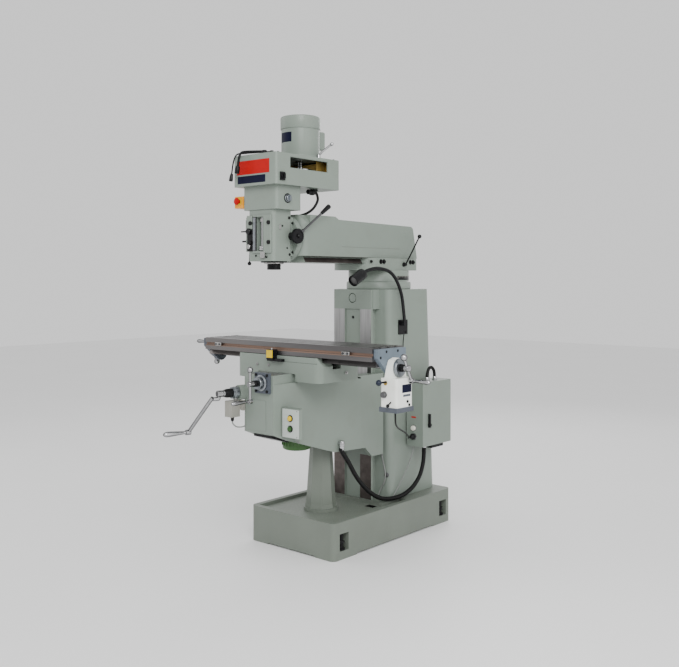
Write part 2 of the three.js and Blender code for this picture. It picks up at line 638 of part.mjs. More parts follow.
function gearHousing() {
  const { half, front, back, top } = GEARBOX;
  const body = raise(roundedRect(-half, half, front, back, 20), HEAD.top + GAP, top);
  return cut(body, rod([0, SPINDLE_Y, 1800], [0, SPINDLE_Y, top + 5], 60, 60, 22));
}

function beltHousing() {
  const { half, front, back, bottom, top, wall } = BELT_BOX;
  const body = raise(roundedRect(-half, half, front, back, 16), bottom, top);
  const hollow = box(-half + wall, half - wall, front + wall, back - wall, bottom + wall, top - wall);
  const windows = box(-half - 5, half + 5, -728, -428, 2104, 2166);
  return cut(body, hollow, windows, rod([0, SPINDLE_Y, bottom - 5], [0, SPINDLE_Y, bottom + 20], 56, 56, 22),
    rod([0, MOTOR_Y, top - 20], [0, MOTOR_Y, top + 5], 40, 40, 22));
}

function stepPulley(y, radii, bore, z0, hubZ = z0) {
  const rows = [[bore, hubZ]];
  if (hubZ < z0) rows.push([36, hubZ], [36, z0]);
  let z = z0;
  for (const r of radii) {
    rows.push([r, z], [r - 5, z + 9], [r - 5, z + 13], [r, z + 22]);
    z += 26;
  }
  rows.push([bore, z], [bore, hubZ]);
  return turned(0, y, rows, 20);
}

const STEPS = [72, 62, 52, 42];

function beltLoop() {
  const z0 = BELT_BOX.bottom + 14 + 26 + 6.5;
  const spindleR = STEPS[1] - 4;
  const motorR = STEPS[2] - 4;
  const ring = (extra) => {
    const a = SPINDLE_Y;
    const b = MOTOR_Y;
    const lean = Math.asin((spindleR - motorR) / (b - a));
    const s = new THREE.Shape();
    const r0 = spindleR + extra;
    const r1 = motorR + extra;
    s.absarc(0, a, r0, lean + Math.PI, -lean, false);
    s.absarc(0, b, r1, -lean, lean + Math.PI, false);
    return s;
  };
  return cut(raise(ring(6), z0, z0 + 9, 12), raise(ring(0.8), z0 - 1, z0 + 11, 12));
}

function motorShaftPulley() {
  const z0 = BELT_BOX.bottom + 14;
  const pulley = stepPulley(MOTOR_Y, [...STEPS].reverse(), 0, z0);
  return join(pulley, rod([0, MOTOR_Y, z0 + 100], [0, MOTOR_Y, 2200], 14, 14, 16));
}

function motor() {
  const { r, bottom, shoulder, top } = MOTOR;
  const body = turned(0, MOTOR_Y, [[0, bottom], [r + 4, bottom], [r + 4, bottom + 14], [r, bottom + 20],
    [r, shoulder], [r + 5, shoulder], [r + 5, top - 26], [r - 2, top - 10], [r - 20, top], [0, top]], 32);
  const terminals = box(-46, 46, MOTOR_Y + r - 12, MOTOR_Y + r + 44, 2236, 2342);
  return cut(join(body, terminals), rod([0, MOTOR_Y, bottom - 5], [0, MOTOR_Y, 2205], 20, 20, 16));
}

function bentLever(pivot, corner, drop, end, r, gripR) {
  const start = rod([pivot[0], pivot[1], BELT_BOX.top + GAP], [pivot[0], pivot[1], pivot[2] + 8], 13, 13, 14);
  return join(start, rod(pivot, corner, r, r, 10), ball(corner, r, 12), rod(corner, drop, r, r, 10),
    ball(drop, r, 12), rod(drop, end, gripR, gripR * 0.9, 12));
}

part('head_casting', headCasting(), PAINT);
part('quill', quill(), STEEL);
part('spindle', spindle(), CHROME);
part('quill_feed_lever', quillFeedHub(), BLACK);
part('feed_trip_lever', feedTripLever(), BLACK);
part('fine_feed_knob', fineFeedKnob(), BLACK);
part('gear_housing', gearHousing(), PAINT);
part('belt_housing', beltHousing(), PAINT);
part('spindle_pulley', stepPulley(SPINDLE_Y, STEPS, 26, BELT_BOX.bottom + 14, 1895), STEEL);
part('motor_pulley', motorShaftPulley(), STEEL);
part('drive_belt', beltLoop(), RUBBER);
part('motor', motor(), PAINT);
part('brake_lever', bentLever([60, -815, 2192], [-60, -850, 2196], [-80, -868, 2170],
  [-90, -872, 2080], 7, 14), BLACK);
part('motor_switch', join(box(BELT_BOX.half + GAP, BELT_BOX.half + 10, -806, -772, 2034, 2078),
  box(BELT_BOX.half + 9, BELT_BOX.half + 26, -794, -784, 2040, 2072)), BLACK);
part('speed_range_knob', join(rod([130 + GAP, -712, 1947], [146, -712, 1947], 21, 20, 18),
  box(145, 158, -716, -708, 1930, 1964)), CHROME);
part('stop_box', cut(box(-200, -130 - GAP, -790, -716, 1903, 1967),
  rod([-166, -778, 1940], [-166, -795, 1940], 11, 11, 16)), ORANGE);
part('stop_button', join(rod([-166, -785, 1940], [-166, -804, 1940], 9, 9, 14),
  rod([-166, -804, 1940], [-166, -816, 1940], 20, 18, 18)), RED);

// ---------- work lamp ----------
const LAMP_X = 240;
const LAMP_TIP = [LAMP_X, -200, 1552];
const LAMP_MOUTH = [LAMP_X, -297, 1503];

function lampArm() {
  const plate = box(216, 221, 150, 238, 1180, 1267);
  const block = box(220, LAMP_X + 12, 162, 200, 1232, 1262);
  const arm = tube([[LAMP_X, 180, 1255], [LAMP_X, 176, 1300], [LAMP_X, 152, 1418], [LAMP_X, 100, 1508],
    [LAMP_X, 32, 1558], [LAMP_X, -72, 1576], [LAMP_X, -160, 1566], LAMP_TIP], 10.5, 8, 30);
  return join(plate, block, arm);
}

function lampHead() {
  const axis = new THREE.Vector3(...LAMP_MOUTH).sub(new THREE.Vector3(...LAMP_TIP)).normalize();
  const at = (t) => new THREE.Vector3(...LAMP_TIP).addScaledVector(axis, t).toArray();
  const body = join(rod(at(6), at(15), 10, 22, 18), rod(at(14), at(112), 32, 32, 22));
  return cut(body, rod(at(99), at(116), 26, 28, 22));
}

part('lamp_arm', lampArm(), BLACK);
part('lamp_head', lampHead(), CHROME);

// ---------- cables ----------
const CONDUIT = [
  [182, -330, 572], [182, -329, 545], [187, -278, 477], [197, -222, 388], [207, -165, 322], [217, -110, 274],
  [228, -55, 240], [238, 0, 223], [248, 55, 218], [259, 110, 221], [269, 165, 236], [279, 222, 268],
  [287, 272, 322], [291, 300, 390], [292, 308, 450], [292, 310, 505],
];
const FEED_CABLE = [
  [722, -540, 847], [721, -538, 815], [708, -520, 788], [678, -474, 764], [630, -400, 738], [586, -328, 716],
  [543, -256, 696], [500, -184, 676], [457, -111, 656], [414, -39, 634], [370, 33, 610], [332, 98, 586],
  [300, 140, 570], [286, 158, 566], [284, 176, 566],
];

function feedPlug() {
  const y = CABINET.front;
  const face = rod([284, y - GAP, 566], [284, y - 20, 566], 18, 17, 16);
  return join(face, rod([284, y - 20, 566], [284, 180, 566], 15, 9, 14));
}

part('knee_conduit', tube(CONDUIT, 13, 10, 22), RUBBER);
part('feed_cable', tube(FEED_CABLE, 4.5, 8, 56), RUBBER);
part('feed_plug', feedPlug(), BLACK);

export default root;
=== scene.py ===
"""Turret milling machine: looks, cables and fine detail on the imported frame. Metres, +Z up."""

import math

import bmesh
import bpy
from mathutils import Matrix, Vector


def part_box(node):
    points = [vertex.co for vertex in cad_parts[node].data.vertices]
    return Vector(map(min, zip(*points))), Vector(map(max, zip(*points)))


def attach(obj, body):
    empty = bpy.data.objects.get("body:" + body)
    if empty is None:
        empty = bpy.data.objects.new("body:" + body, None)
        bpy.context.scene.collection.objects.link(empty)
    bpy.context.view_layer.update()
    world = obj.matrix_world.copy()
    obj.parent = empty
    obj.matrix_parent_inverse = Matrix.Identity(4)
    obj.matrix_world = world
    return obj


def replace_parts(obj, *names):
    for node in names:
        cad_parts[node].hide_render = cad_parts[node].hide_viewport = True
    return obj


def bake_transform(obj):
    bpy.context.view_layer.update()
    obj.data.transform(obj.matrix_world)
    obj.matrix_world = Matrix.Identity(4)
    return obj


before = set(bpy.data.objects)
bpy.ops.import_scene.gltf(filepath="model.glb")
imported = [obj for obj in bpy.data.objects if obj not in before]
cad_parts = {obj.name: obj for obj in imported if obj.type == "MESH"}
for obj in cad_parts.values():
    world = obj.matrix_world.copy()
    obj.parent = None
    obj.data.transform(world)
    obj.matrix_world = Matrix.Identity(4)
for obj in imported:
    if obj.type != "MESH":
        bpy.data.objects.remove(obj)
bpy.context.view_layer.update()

MM = 0.001
X, Y, Z = Vector((1, 0, 0)), Vector((0, 1, 0)), Vector((0, 0, 1))
GAP = 0.4 * MM
FIXED = "machine_frame"


def mm(x, y, z):
    return Vector((x, y, z)) * MM


def middle(node):
    low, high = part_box(node)
    return (low + high) / 2


def rear_middle(node):
    """The middle of the face of a node's box that looks to the back of the machine."""
    point = middle(node)
    point.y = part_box(node)[1].y
    return point


# ---------- camera ----------
def add_camera():
    data = bpy.data.cameras.new("camera")
    data.lens = 46.55
    data.sensor_width = 36
    data.shift_y = -0.0817
    camera = bpy.data.objects.new("camera", data)
    camera.location = (3.420, -4.067, 1.520)
    camera.rotation_euler = (math.radians(90), 0, math.radians(41.05))
    bpy.context.collection.objects.link(camera)
    bpy.context.scene.camera = camera


add_camera()

# ---------- materials ----------
# Colour of the painted reflection that darkens the edges of shiny handles.
PAINTED_REFLECTION_COLOR = (0.012, 0.012, 0.014)


def grey(v):
    return (v, v, v, 1)


def noise(tree, place, size, detail):
    node = tree.nodes.new("ShaderNodeTexNoise")
    node.inputs["Scale"].default_value = size
    node.inputs["Detail"].default_value = detail
    tree.links.new(place, node.inputs["Vector"])
    return node.outputs["Fac"]


def ramp(tree, source, low, high, at=(0.3, 0.7)):
    node = tree.nodes.new("ShaderNodeValToRGB")
    for stop, color, position in zip(node.color_ramp.elements, (low, high), at):
        stop.position = position
        stop.color = color
    tree.links.new(source, node.inputs["Fac"])
    return node.outputs["Color"]


def toward(tree, under, mask, over):
    """Mixes a plain colour over another one where the mask is light."""
    mix = tree.nodes.new("ShaderNodeMix")
    mix.data_type = "RGBA"
    colors = [s for s in mix.inputs if s.type == "RGBA"]
    colors[1].default_value = tuple(over) + (1,)
    tree.links.new(mask, mix.inputs["Factor"])
    tree.links.new(under, colors[0])
    return [s for s in mix.outputs if s.type == "RGBA"][0]


def surface(name, color, metallic=0.0, rough=(0.38, 0.52), mottle=0.05, patch=5.0, grain=260.0,
            bump=0.08, stretch=(1, 1, 1), stain=None, stain_amount=0.0, stain_scale=9.0, painted_reflection=0.0, gloss=0.4):
    """A surface with slow colour drift, fine grain in roughness and relief, stains and, on shiny parts, a
    painted reflection that darkens the edges.
    """
    mat = bpy.data.materials.new(name)
    mat.use_nodes = True
    tree = mat.node_tree
    shader = tree.nodes["Principled BSDF"]
    shader.inputs["Metallic"].default_value = metallic
    shader.inputs["Specular IOR Level"].default_value = gloss
    scale = tree.nodes.new("ShaderNodeMapping")
    scale.inputs["Scale"].default_value = stretch
    tree.links.new(tree.nodes.new("ShaderNodeTexCoord").outputs["Object"], scale.inputs["Vector"])
    place = scale.outputs["Vector"]
    dark = tuple(max(0.0, c * (1 - mottle)) for c in color) + (1,)
    light = tuple(min(1.0, c * (1 + mottle)) for c in color) + (1,)
    tint = ramp(tree, noise(tree, place, patch, 4), dark, light)
    if stain:
        spots = noise(tree, place, stain_scale, 8)
        tint = toward(tree, tint, ramp(tree, spots, grey(0), grey(stain_amount), (0.52, 0.72)), stain)
    # Painted reflection: faces seen at a grazing angle turn dark, as on a shiny part reflecting dark
    # surroundings.
    if painted_reflection:
        facing = tree.nodes.new("ShaderNodeLayerWeight")
        facing.inputs["Blend"].default_value = 0.5
        mask = ramp(tree, facing.outputs["Facing"], grey(0), grey(painted_reflection), (0.12, 0.6))
        tint = toward(tree, tint, mask, PAINTED_REFLECTION_COLOR)
    tree.links.new(tint, shader.inputs["Base Color"])
    fine = noise(tree, place, grain, 6)
    tree.links.new(ramp(tree, fine, grey(rough[0]), grey(rough[1])), shader.inputs["Roughness"])
    relief = tree.nodes.new("ShaderNodeBump")
    relief.inputs["Strength"].default_value = bump
    relief.inputs["Distance"].default_value = 0.001
    tree.links.new(fine, relief.inputs["Height"])
    tree.links.new(relief.outputs["Normal"], shader.inputs["Normal"])
    return mat


PAINT = surface("enamel", (0.20, 0.238, 0.205), rough=(0.30, 0.44), mottle=0.04, patch=3.5,
                grain=190, bump=0.10, stain=(0.13, 0.14, 0.11), stain_amount=0.18, stain_scale=7)
# A darker copy of the enamel: on the base and the pedestal the darkening is painted shade; the heavier stains
# are dirt.
PAINT_LOW = surface("shaded_worn_enamel", (0.150, 0.172, 0.145), rough=(0.36, 0.54), mottle=0.06,
                    grain=150, bump=0.14, stain=(0.12, 0.135, 0.11), stain_amount=0.35, stain_scale=4)
TABLE_STEEL = surface("oiled_steel", (0.165, 0.158, 0.158), metallic=1.0,
                      rough=(0.28, 0.46), mottle=0.25, patch=9, grain=420, bump=0.05, stretch=(0.12, 1, 1),
                      stain=(0.13, 0.10, 0.085), stain_amount=0.4)
WAY_STEEL = surface("scraped_steel", (0.35, 0.35, 0.35), metallic=1.0, rough=(0.34, 0.46),
                    mottle=0.22, patch=90, grain=300, bump=0.04, stretch=(1, 1, 0.04),
                    stain=(0.16, 0.13, 0.12), stain_amount=0.35, stain_scale=40)
# Dark way steel: painted shade on the ways and dovetail under the ram; on the column it makes the ways darker
# low down.
WAY_SHADE_AND_OIL = surface("way_shade_and_oil", (0.10, 0.085, 0.08), metallic=0.8, rough=(0.3, 0.5),
                   mottle=0.3, patch=20, grain=300, bump=0.06)
RUST_OIL = surface("rust_oil", (0.20, 0.125, 0.092), metallic=0.5, rough=(0.32, 0.5),
                   mottle=0.25, patch=12, grain=300, bump=0.05, stretch=(0.1, 1, 1))
STEEL = surface("ground_steel", (0.36, 0.355, 0.35), metallic=1.0, rough=(0.2, 0.36),
                mottle=0.12, patch=30, grain=500, bump=0.03)
CHROME = surface("chrome", (0.50, 0.50, 0.51), metallic=1.0, rough=(0.10, 0.20), patch=60,
                 grain=300, bump=0.015)
# Handle steel carries a painted reflection that darkens its edges.
HANDLE = surface("handle_steel", (0.46, 0.46, 0.47), metallic=1.0, rough=(0.14, 0.26),
                 mottle=0.12, patch=40, grain=400, bump=0.02, painted_reflection=0.94)
DIAL_STEEL = surface("dial_steel", (0.25, 0.27, 0.29), metallic=1.0, rough=(0.24, 0.38),
                     mottle=0.1, patch=30, grain=400, bump=0.03)
SWITCH_GREY = surface("switch_grey", (0.30, 0.295, 0.26), rough=(0.34, 0.46), patch=9,
                      grain=300, bump=0.06)
DULL_STEEL = surface("dull_steel", (0.13, 0.13, 0.135), metallic=1.0, rough=(0.26, 0.4),
                     mottle=0.2, patch=30, grain=400, bump=0.04)
BLACK = surface("black_plastic", (0.005, 0.005, 0.006), rough=(0.24, 0.36), mottle=0.3,
                patch=40, grain=700, bump=0.06, gloss=0.22)
BLACK_OXIDE = surface("black_oxide", (0.012, 0.012, 0.013), metallic=0.6, rough=(0.3, 0.45),
                      mottle=0.3, patch=50, grain=500, bump=0.05, gloss=0.2)
RUBBER = surface("rubber", (0.006, 0.006, 0.006), rough=(0.42, 0.6), mottle=0.3, patch=40,
                 grain=600, bump=0.10, gloss=0.2)
GREY_LEAD = surface("grey_lead", (0.20, 0.21, 0.20), rough=(0.4, 0.55), mottle=0.1, patch=40,
                    grain=500, bump=0.05)
CASTING = surface("blue_grey_casting", (0.15, 0.19, 0.23), metallic=0.25, rough=(0.34, 0.5),
                  mottle=0.10, patch=14, grain=240, bump=0.15, stain=(0.12, 0.13, 0.15), stain_amount=0.3)
IVORY = surface("off_white_enamel", (0.90, 0.92, 0.87), rough=(0.3, 0.42), mottle=0.025,
                patch=8, grain=320, bump=0.06, stain=(0.50, 0.47, 0.38), stain_amount=0.22)
BOX_GREY = surface("pale_box", (0.47, 0.51, 0.48), rough=(0.34, 0.46), mottle=0.04, patch=9,
                   grain=300, bump=0.06)
SLATE = surface("slate_base", (0.07, 0.08, 0.10), rough=(0.4, 0.5), mottle=0.12, patch=16,
                grain=300, bump=0.10)
BLUE_BLACK = surface("blue_black_knob", (0.012, 0.018, 0.035), rough=(0.25, 0.35),
                     mottle=0.2, patch=30, grain=500, bump=0.03, gloss=0.3)
GREEN = surface("green_enamel", (0.03, 0.095, 0.018), rough=(0.35, 0.5), mottle=0.15,
                patch=15, grain=240, bump=0.12)
ORANGE = surface("orange_plastic", (0.80, 0.33, 0.015), rough=(0.3, 0.4), mottle=0.04,
                 patch=20, grain=500, bump=0.03, gloss=0.2)
RED = surface("red_plastic", (0.42, 0.002, 0.002), rough=(0.4, 0.5), mottle=0.06, patch=30,
              grain=500, bump=0.03, gloss=0.12)
YELLOW = surface("yellow_plastic", (0.66, 0.46, 0.02), rough=(0.3, 0.4), mottle=0.08,
                 patch=30, grain=500, bump=0.03, gloss=0.2)
NAVY = surface("navy_plate", (0.004, 0.005, 0.022), rough=(0.4, 0.5), mottle=0.15, patch=30,
               grain=600, bump=0.02, gloss=0.08)
GOLD = surface("yellow_chromate", (0.36, 0.24, 0.06), metallic=0.7, rough=(0.34, 0.5), mottle=0.2,
               patch=12, grain=300, bump=0.05)
BRONZE = surface("bronze", (0.42, 0.27, 0.10), metallic=1.0, rough=(0.3, 0.45), mottle=0.15,
                 patch=20, grain=300, bump=0.05)
WHITE = surface("white_button", (0.78, 0.77, 0.68), rough=(0.25, 0.35), mottle=0.03,
                patch=20, grain=500, bump=0.02)
GLASS = surface("frosted_glass", (0.10, 0.10, 0.10), rough=(0.15, 0.25), mottle=0.02,
                patch=20, grain=500, bump=0.02)


# ---------- mesh builders ----------
def soften(piece, width, steps=3, angle=32):
    """Rounds the sharp edges. width is in millimetres."""
    modifier = piece.modifiers.new("edges", "BEVEL")
    modifier.width = width * MM
    modifier.segments = steps
    modifier.limit_method = "ANGLE"
    modifier.angle_limit = math.radians(angle)
    modifier.harden_normals = True


def finish_piece(name, bm, material, body, bevel=0.0, angle=35, steps=3):
    """Makes the mesh a named piece with its material and the body that it rides, if any."""
    bmesh.ops.recalc_face_normals(bm, faces=bm.faces)
    mesh = bpy.data.meshes.new(name)
    bm.to_mesh(mesh)
    bm.free()
    piece = bpy.data.objects.new(name, mesh)
    bpy.context.collection.objects.link(piece)
    mesh.materials.append(material)
    mesh.shade_smooth()
    mesh.set_sharp_from_angle(angle=math.radians(angle))
    if bevel:
        soften(piece, bevel, steps)
    if body:
        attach(piece, body)
    return piece


def basis(axis):
    axis = axis.normalized()
    side = axis.orthogonal().normalized()
    return side, axis.cross(side)


def ring(bm, centre, u, v, radius, count):
    verts = []
    for i in range(count):
        a = math.tau * i / count
        verts.append(bm.verts.new(centre + (u * math.cos(a) + v * math.sin(a)) * radius))
    return verts


def bridge(bm, a, b):
    n = len(a)
    for i in range(n):
        bm.faces.new((a[i], a[(i + 1) % n], b[(i + 1) % n], b[i]))


def add_skin(bm, rings):
    """Joins rings of points in order and caps the first and the last."""
    for a, b in zip(rings, rings[1:]):
        bridge(bm, a, b)
    bm.faces.new(list(reversed(rings[0])))
    bm.faces.new(rings[-1])


def add_turned(bm, base, axis, rows, count=40):
    """Rows of (radius, distance along the axis), in millimetres, capped at both ends."""
    axis = axis.normalized()
    u, v = basis(axis)
    add_skin(bm, [ring(bm, base + axis * (t * MM), u, v, max(r, 0.05) * MM, count) for r, t in rows])


def add_tube_ring(bm, base, axis, rows, count=48):
    """A closed profile of (radius, distance) turned about the axis: a hollow ring."""
    axis = axis.normalized()
    u, v = basis(axis)
    rings = [ring(bm, base + axis * (t * MM), u, v, r * MM, count) for r, t in rows]
    for a, b in zip(rings, rings[1:] + rings[:1]):
        bridge(bm, a, b)


def add_box(bm, low, high):
    xs, ys, zs = zip(low, high)
    verts = [bm.verts.new((x, y, z)) for x in xs for y in ys for z in zs]
    for face in ((0, 1, 3, 2), (4, 6, 7, 5), (0, 4, 5, 1), (2, 3, 7, 6), (0, 2, 6, 4), (1, 5, 7, 3)):
        bm.faces.new([verts[i] for i in face])


def add_prism(bm, points, push):
    """A flat outline of points, pushed along a vector."""
    near = [bm.verts.new(p) for p in points]
    far = [bm.verts.new(p + push) for p in points]
    bm.faces.new(list(reversed(near)))
    bm.faces.new(far)
    bridge(bm, near, far)


def smooth_path(points, per=8):
    """A smooth curve through all the points, with several steps between each two."""
    pts = [points[0] * 2 - points[1]] + list(points) + [points[-1] * 2 - points[-2]]
    out = []
    for a, b, c, d in zip(pts, pts[1:], pts[2:], pts[3:]):
        for k in range(per):
            t = k / per
            square = 2 * a - 5 * b + 4 * c - d
            cube = 3 * b - a - 3 * c + d
            out.append(0.5 * (2 * b + (c - a) * t + square * t * t + cube * t ** 3))
    out.append(pts[-2])
    return out


def add_sweep(bm, path, radius, count=14):
    """A round bar along a path. radius is in millimetres, or a function of the distance along it."""
    size = radius if callable(radius) else (lambda s: radius)
    tangent = (path[1] - path[0]).normalized()
    u, v = basis(tangent)
    rings = []
    travelled = 0.0
    for i, p in enumerate(path):
        ahead = (path[min(i + 1, len(path) - 1)] - path[max(i - 1, 0)]).normalized()
        turn = tangent.rotation_difference(ahead)
        tangent = ahead
        u, v = turn @ u, turn @ v
        if i:
            travelled += (p - path[i - 1]).length
        rings.append(ring(bm, p, u, v, size(travelled) * MM, count))
    add_skin(bm, rings)


def turned(name, base, axis, rows, material, body, count=48, bevel=0.0):
    bm = bmesh.new()
    add_turned(bm, base, axis, rows, count)
    return finish_piece(name, bm, material, body, bevel)


def hollow_ring(name, base, axis, rows, material, body, count=48, bevel=0.0):
    bm = bmesh.new()
    add_tube_ring(bm, base, axis, rows, count)
    return finish_piece(name, bm, material, body, bevel)


def block(name, low, high, material, body, bevel=1.5, steps=3):
    bm = bmesh.new()
    add_box(bm, low, high)
    return finish_piece(name, bm, material, body, bevel, steps=steps)


def lead(name, route, radius, material, body, per=10, count=12):
    """A cable that stays in place, through the points of its route."""
    bm = bmesh.new()
    add_sweep(bm, smooth_path(route, per), radius, count)
    return finish_piece(name, bm, material, body, angle=60)


def ball_rows(rows, radius):
    """The rows of one half of a ball, its widest ring and the other half."""
    return rows + [(radius, 0)] + [(r, -t) for r, t in reversed(rows)]


def resample(path, step):
    """Points an even distance apart along a path."""
    out = [path[0].copy()]
    left = step
    for a, b in zip(path, path[1:]):
        span = (b - a).length
        at = 0.0
        while span - at >= left:
            at += left
            out.append(a.lerp(b, at / span))
            left = step
        left -= span - at
    if (out[-1] - path[-1]).length > step * 0.3:
        out.append(path[-1].copy())
    else:
        out[-1] = path[-1].copy()
    return out


# ---------- cables ----------
CONDUIT = [
    (182, -330, 572), (182, -329, 545), (187, -278, 477), (197, -222, 388), (207, -165, 322),
    (217, -110, 274),
    (228, -55, 240), (238, 0, 223), (248, 55, 218), (259, 110, 221), (269, 165, 236), (279, 222, 268),
    (287, 272, 322), (291, 300, 390), (292, 308, 450), (292, 310, 505),
]
FEED_CABLE = [
    (722, -540, 847), (721, -538, 815), (708, -520, 788), (678, -474, 764), (630, -400, 738),
    (586, -328, 716),
    (543, -256, 696), (500, -184, 676), (457, -111, 656), (414, -39, 634), (370, 33, 610), (332, 98, 586),
    (300, 140, 570), (286, 158, 566), (284, 176, 566),
]
CORD_DETAIL = 12
RIB_PITCH = 0.006
CONDUIT_RADIUS = 13
CABLE_STEP = 0.008


def ribbed(s):
    return CONDUIT_RADIUS * (1 - 0.05 + 0.05 * math.cos(math.tau * s / RIB_PITCH))


def knee_conduit():
    path = resample(smooth_path([mm(*p) for p in CONDUIT], CORD_DETAIL), RIB_PITCH / 4)
    bm = bmesh.new()
    add_sweep(bm, path, ribbed, 16)
    piece = finish_piece("conduit", bm, RUBBER, None, angle=60)
    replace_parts(piece, "knee_conduit")
    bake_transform(piece)


def feed_plug():
    rows = [(17.5, 0), (18, 2), (18, 15), (16, 16), (16, 19), (13, 21), (10.5, 26), (8, 33), (7, 34.4)]
    piece = turned("feed_plug_body", rear_middle("feed_plug"), -Y, rows, BLACK, FIXED, 32, 0.6)
    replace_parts(piece, "feed_plug")
    return piece


def feed_cable():
    """Three lengths, one for each slide that the cable crosses."""
    smooth = smooth_path([mm(*p) for p in FEED_CABLE], CORD_DETAIL)
    spans = [("table", "saddle", 0, 5), ("knee", "saddle", 5, 10), ("knee", "machine_frame", 10, 14)]
    for i, (a, b, first, last) in enumerate(spans):
        path = resample(smooth[first * CORD_DETAIL:last * CORD_DETAIL + 1], CABLE_STEP)
        bm = bmesh.new()
        add_sweep(bm, path, 4.5, 14)
        piece = finish_piece(f"feed_cable_{i + 1}", bm, RUBBER, None, angle=60)
        if i == 2:
            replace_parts(piece, "feed_cable")
        start, end = path[0], path[-1]
        if i == 1:
            start, end = end, start
        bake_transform(piece)
        ends = {"far_end": "plug", "with_pieces": [feed_plug()]} if i == 2 else {"far_end": "object"}


knee_conduit()
feed_cable()

# ---------- carried-over CAD nodes ----------
CAD_LOOKS = [
    ("base_casting", PAINT_LOW, 5), ("column_casting", PAINT, 6), ("screw_pedestal", PAINT_LOW, 3),
    ("elevating_nut", BRONZE, 1), ("cabinet_box", PAINT, 1.5), ("cabinet_door", PAINT, 2),
    ("door_latch", BLACK, 1),
    ("knee_casting", PAINT, 5), ("elevating_screw", STEEL, 0.5), ("control_box", PAINT, 4),
    ("interlock_switch", SWITCH_GREY, 3), ("cross_screw_bracket", SLATE, 2), ("saddle_casting", PAINT, 5),
    ("table_nut", BRONZE, 1), ("cross_nut", BRONZE, 1), ("limit_switch", BLACK, 2),
    ("table", TABLE_STEEL, 1.2),
    # The left end bracket is the same blue-grey casting as the right one; its darker slate colour is painted
    # shade.
    ("right_end_bracket", CASTING, 2.5), ("left_end_bracket", SLATE, 2.5), ("power_feed", IVORY, 4),
    ("turret_saddle", PAINT, 5), ("ram_casting", PAINT, 7), ("head_casting", PAINT, 6),
    ("gear_housing", PAINT, 6), ("belt_housing", PAINT, 5), ("stop_box", ORANGE, 5),
]


def dress_cad():
    for node, material, bevel in CAD_LOOKS:
        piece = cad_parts[node]
        piece.data.materials.clear()
        piece.data.materials.append(material)
        piece.data.shade_smooth()
        piece.data.set_sharp_from_angle(angle=math.radians(32))
        soften(piece, bevel)


dress_cad()


# ---------- fasteners and plates ----------
def cap_screw(name, at, out, body, size=11, length=9, material=BLACK_OXIDE):
    """A socket head cap screw standing out of a face."""
    turned(name, at, out, [(size - 1, 0), (size, 1), (size, length - 1.2), (size - 1.4, length)], material,
           body, 28)
    out = out.normalized()
    u, v = basis(out)
    bm = bmesh.new()
    bm.faces.new(ring(bm, at + out * (length + 0.05) * MM, u, v, size * 0.52 * MM, 6))
    finish_piece(name + "_socket", bm, RUBBER, body)


def hex_bolt(name, at, out, body, size=12, height=8, material=STEEL):
    bm = bmesh.new()
    add_turned(bm, at, out, [(size * 1.45, 0), (size * 1.5, 0.4), (size * 1.5, 2), (size * 1.4, 2.4)], 28)
    add_turned(bm, at + out.normalized() * 2.2 * MM, out,
               [(size, 0), (size * 1.02, 1), (size * 1.02, height - 1.5), (size * 0.86, height)], 6)
    finish_piece(name, bm, material, body, 0.4)


def plate(name, centre, u, v, out, width, height, thick, material, body, corner=3):
    """A thin label plate with rounded corners and no lettering."""
    points = []
    for cx, cy, start in ((1, 1, 0), (-1, 1, 90), (-1, -1, 180), (1, -1, 270)):
        for k in range(5):
            a = math.radians(start + k * 22.5)
            px = cx * (width / 2 - corner) + corner * math.cos(a)
            py = cy * (height / 2 - corner) + corner * math.sin(a)
            points.append(centre + u * px * MM + v * py * MM)
    bm = bmesh.new()
    add_prism(bm, points, out.normalized() * thick * MM)
    finish_piece(name, bm, material, body, 0.2, steps=2)


# ---------- base and column ----------
def leveling_bolts():
    low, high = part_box("base_casting")
    corners = [(sx, sy) for sx in (-1, 1) for sy in (-1, 1)]
    for number, (sx, sy) in enumerate(corners, 1):
        at = Vector((sx * (high.x - 24 * MM), sy * 0.468, low.z + 46 * MM + GAP))
        bm = bmesh.new()
        add_turned(bm, at, Z, [(22, 0), (23, 1), (23, 9), (21, 11), (12, 12), (11, 14), (11, 90), (9.5, 92)],
                   32)
        add_turned(bm, at + Z * 34 * MM, Z, [(18, 0), (20, 1.5), (20, 14), (18, 16)], 6)
        finish_piece(f"leveling_bolt_{number}", bm, BLACK_OXIDE, FIXED, 0.4)


def tray_drain():
    """Painted shade: black sheets lining the walls and floor of the drain in the chip tray."""
    for name, low, high in (
            ("floor", mm(151, -94, 120.1), mm(214, -46, 121.3)),
            ("left", mm(150.1, -94, 122), mm(150.7, -46, 183)),
            ("right", mm(214.3, -94, 122), mm(214.9, -46, 183)),
            ("front", mm(151, -94.9, 122), mm(214, -94.3, 183)),
            ("back", mm(151, -45.7, 122), mm(214, -45.1, 183))):
        block(f"drain_{name}", low, high, RUBBER, FIXED, 0.05, 1)


def pedestal_foot():
    """The turned foot of the elevating screw's pedestal."""
    rows = [(62, 0), (88, 0), (88, 6), (85, 9), (79, 10), (79, 20), (75, 24), (62, 25)]
    hollow_ring("pedestal_foot", mm(0, -303, 185.4), Z, rows, PAINT_LOW, FIXED, 64, 0.8)


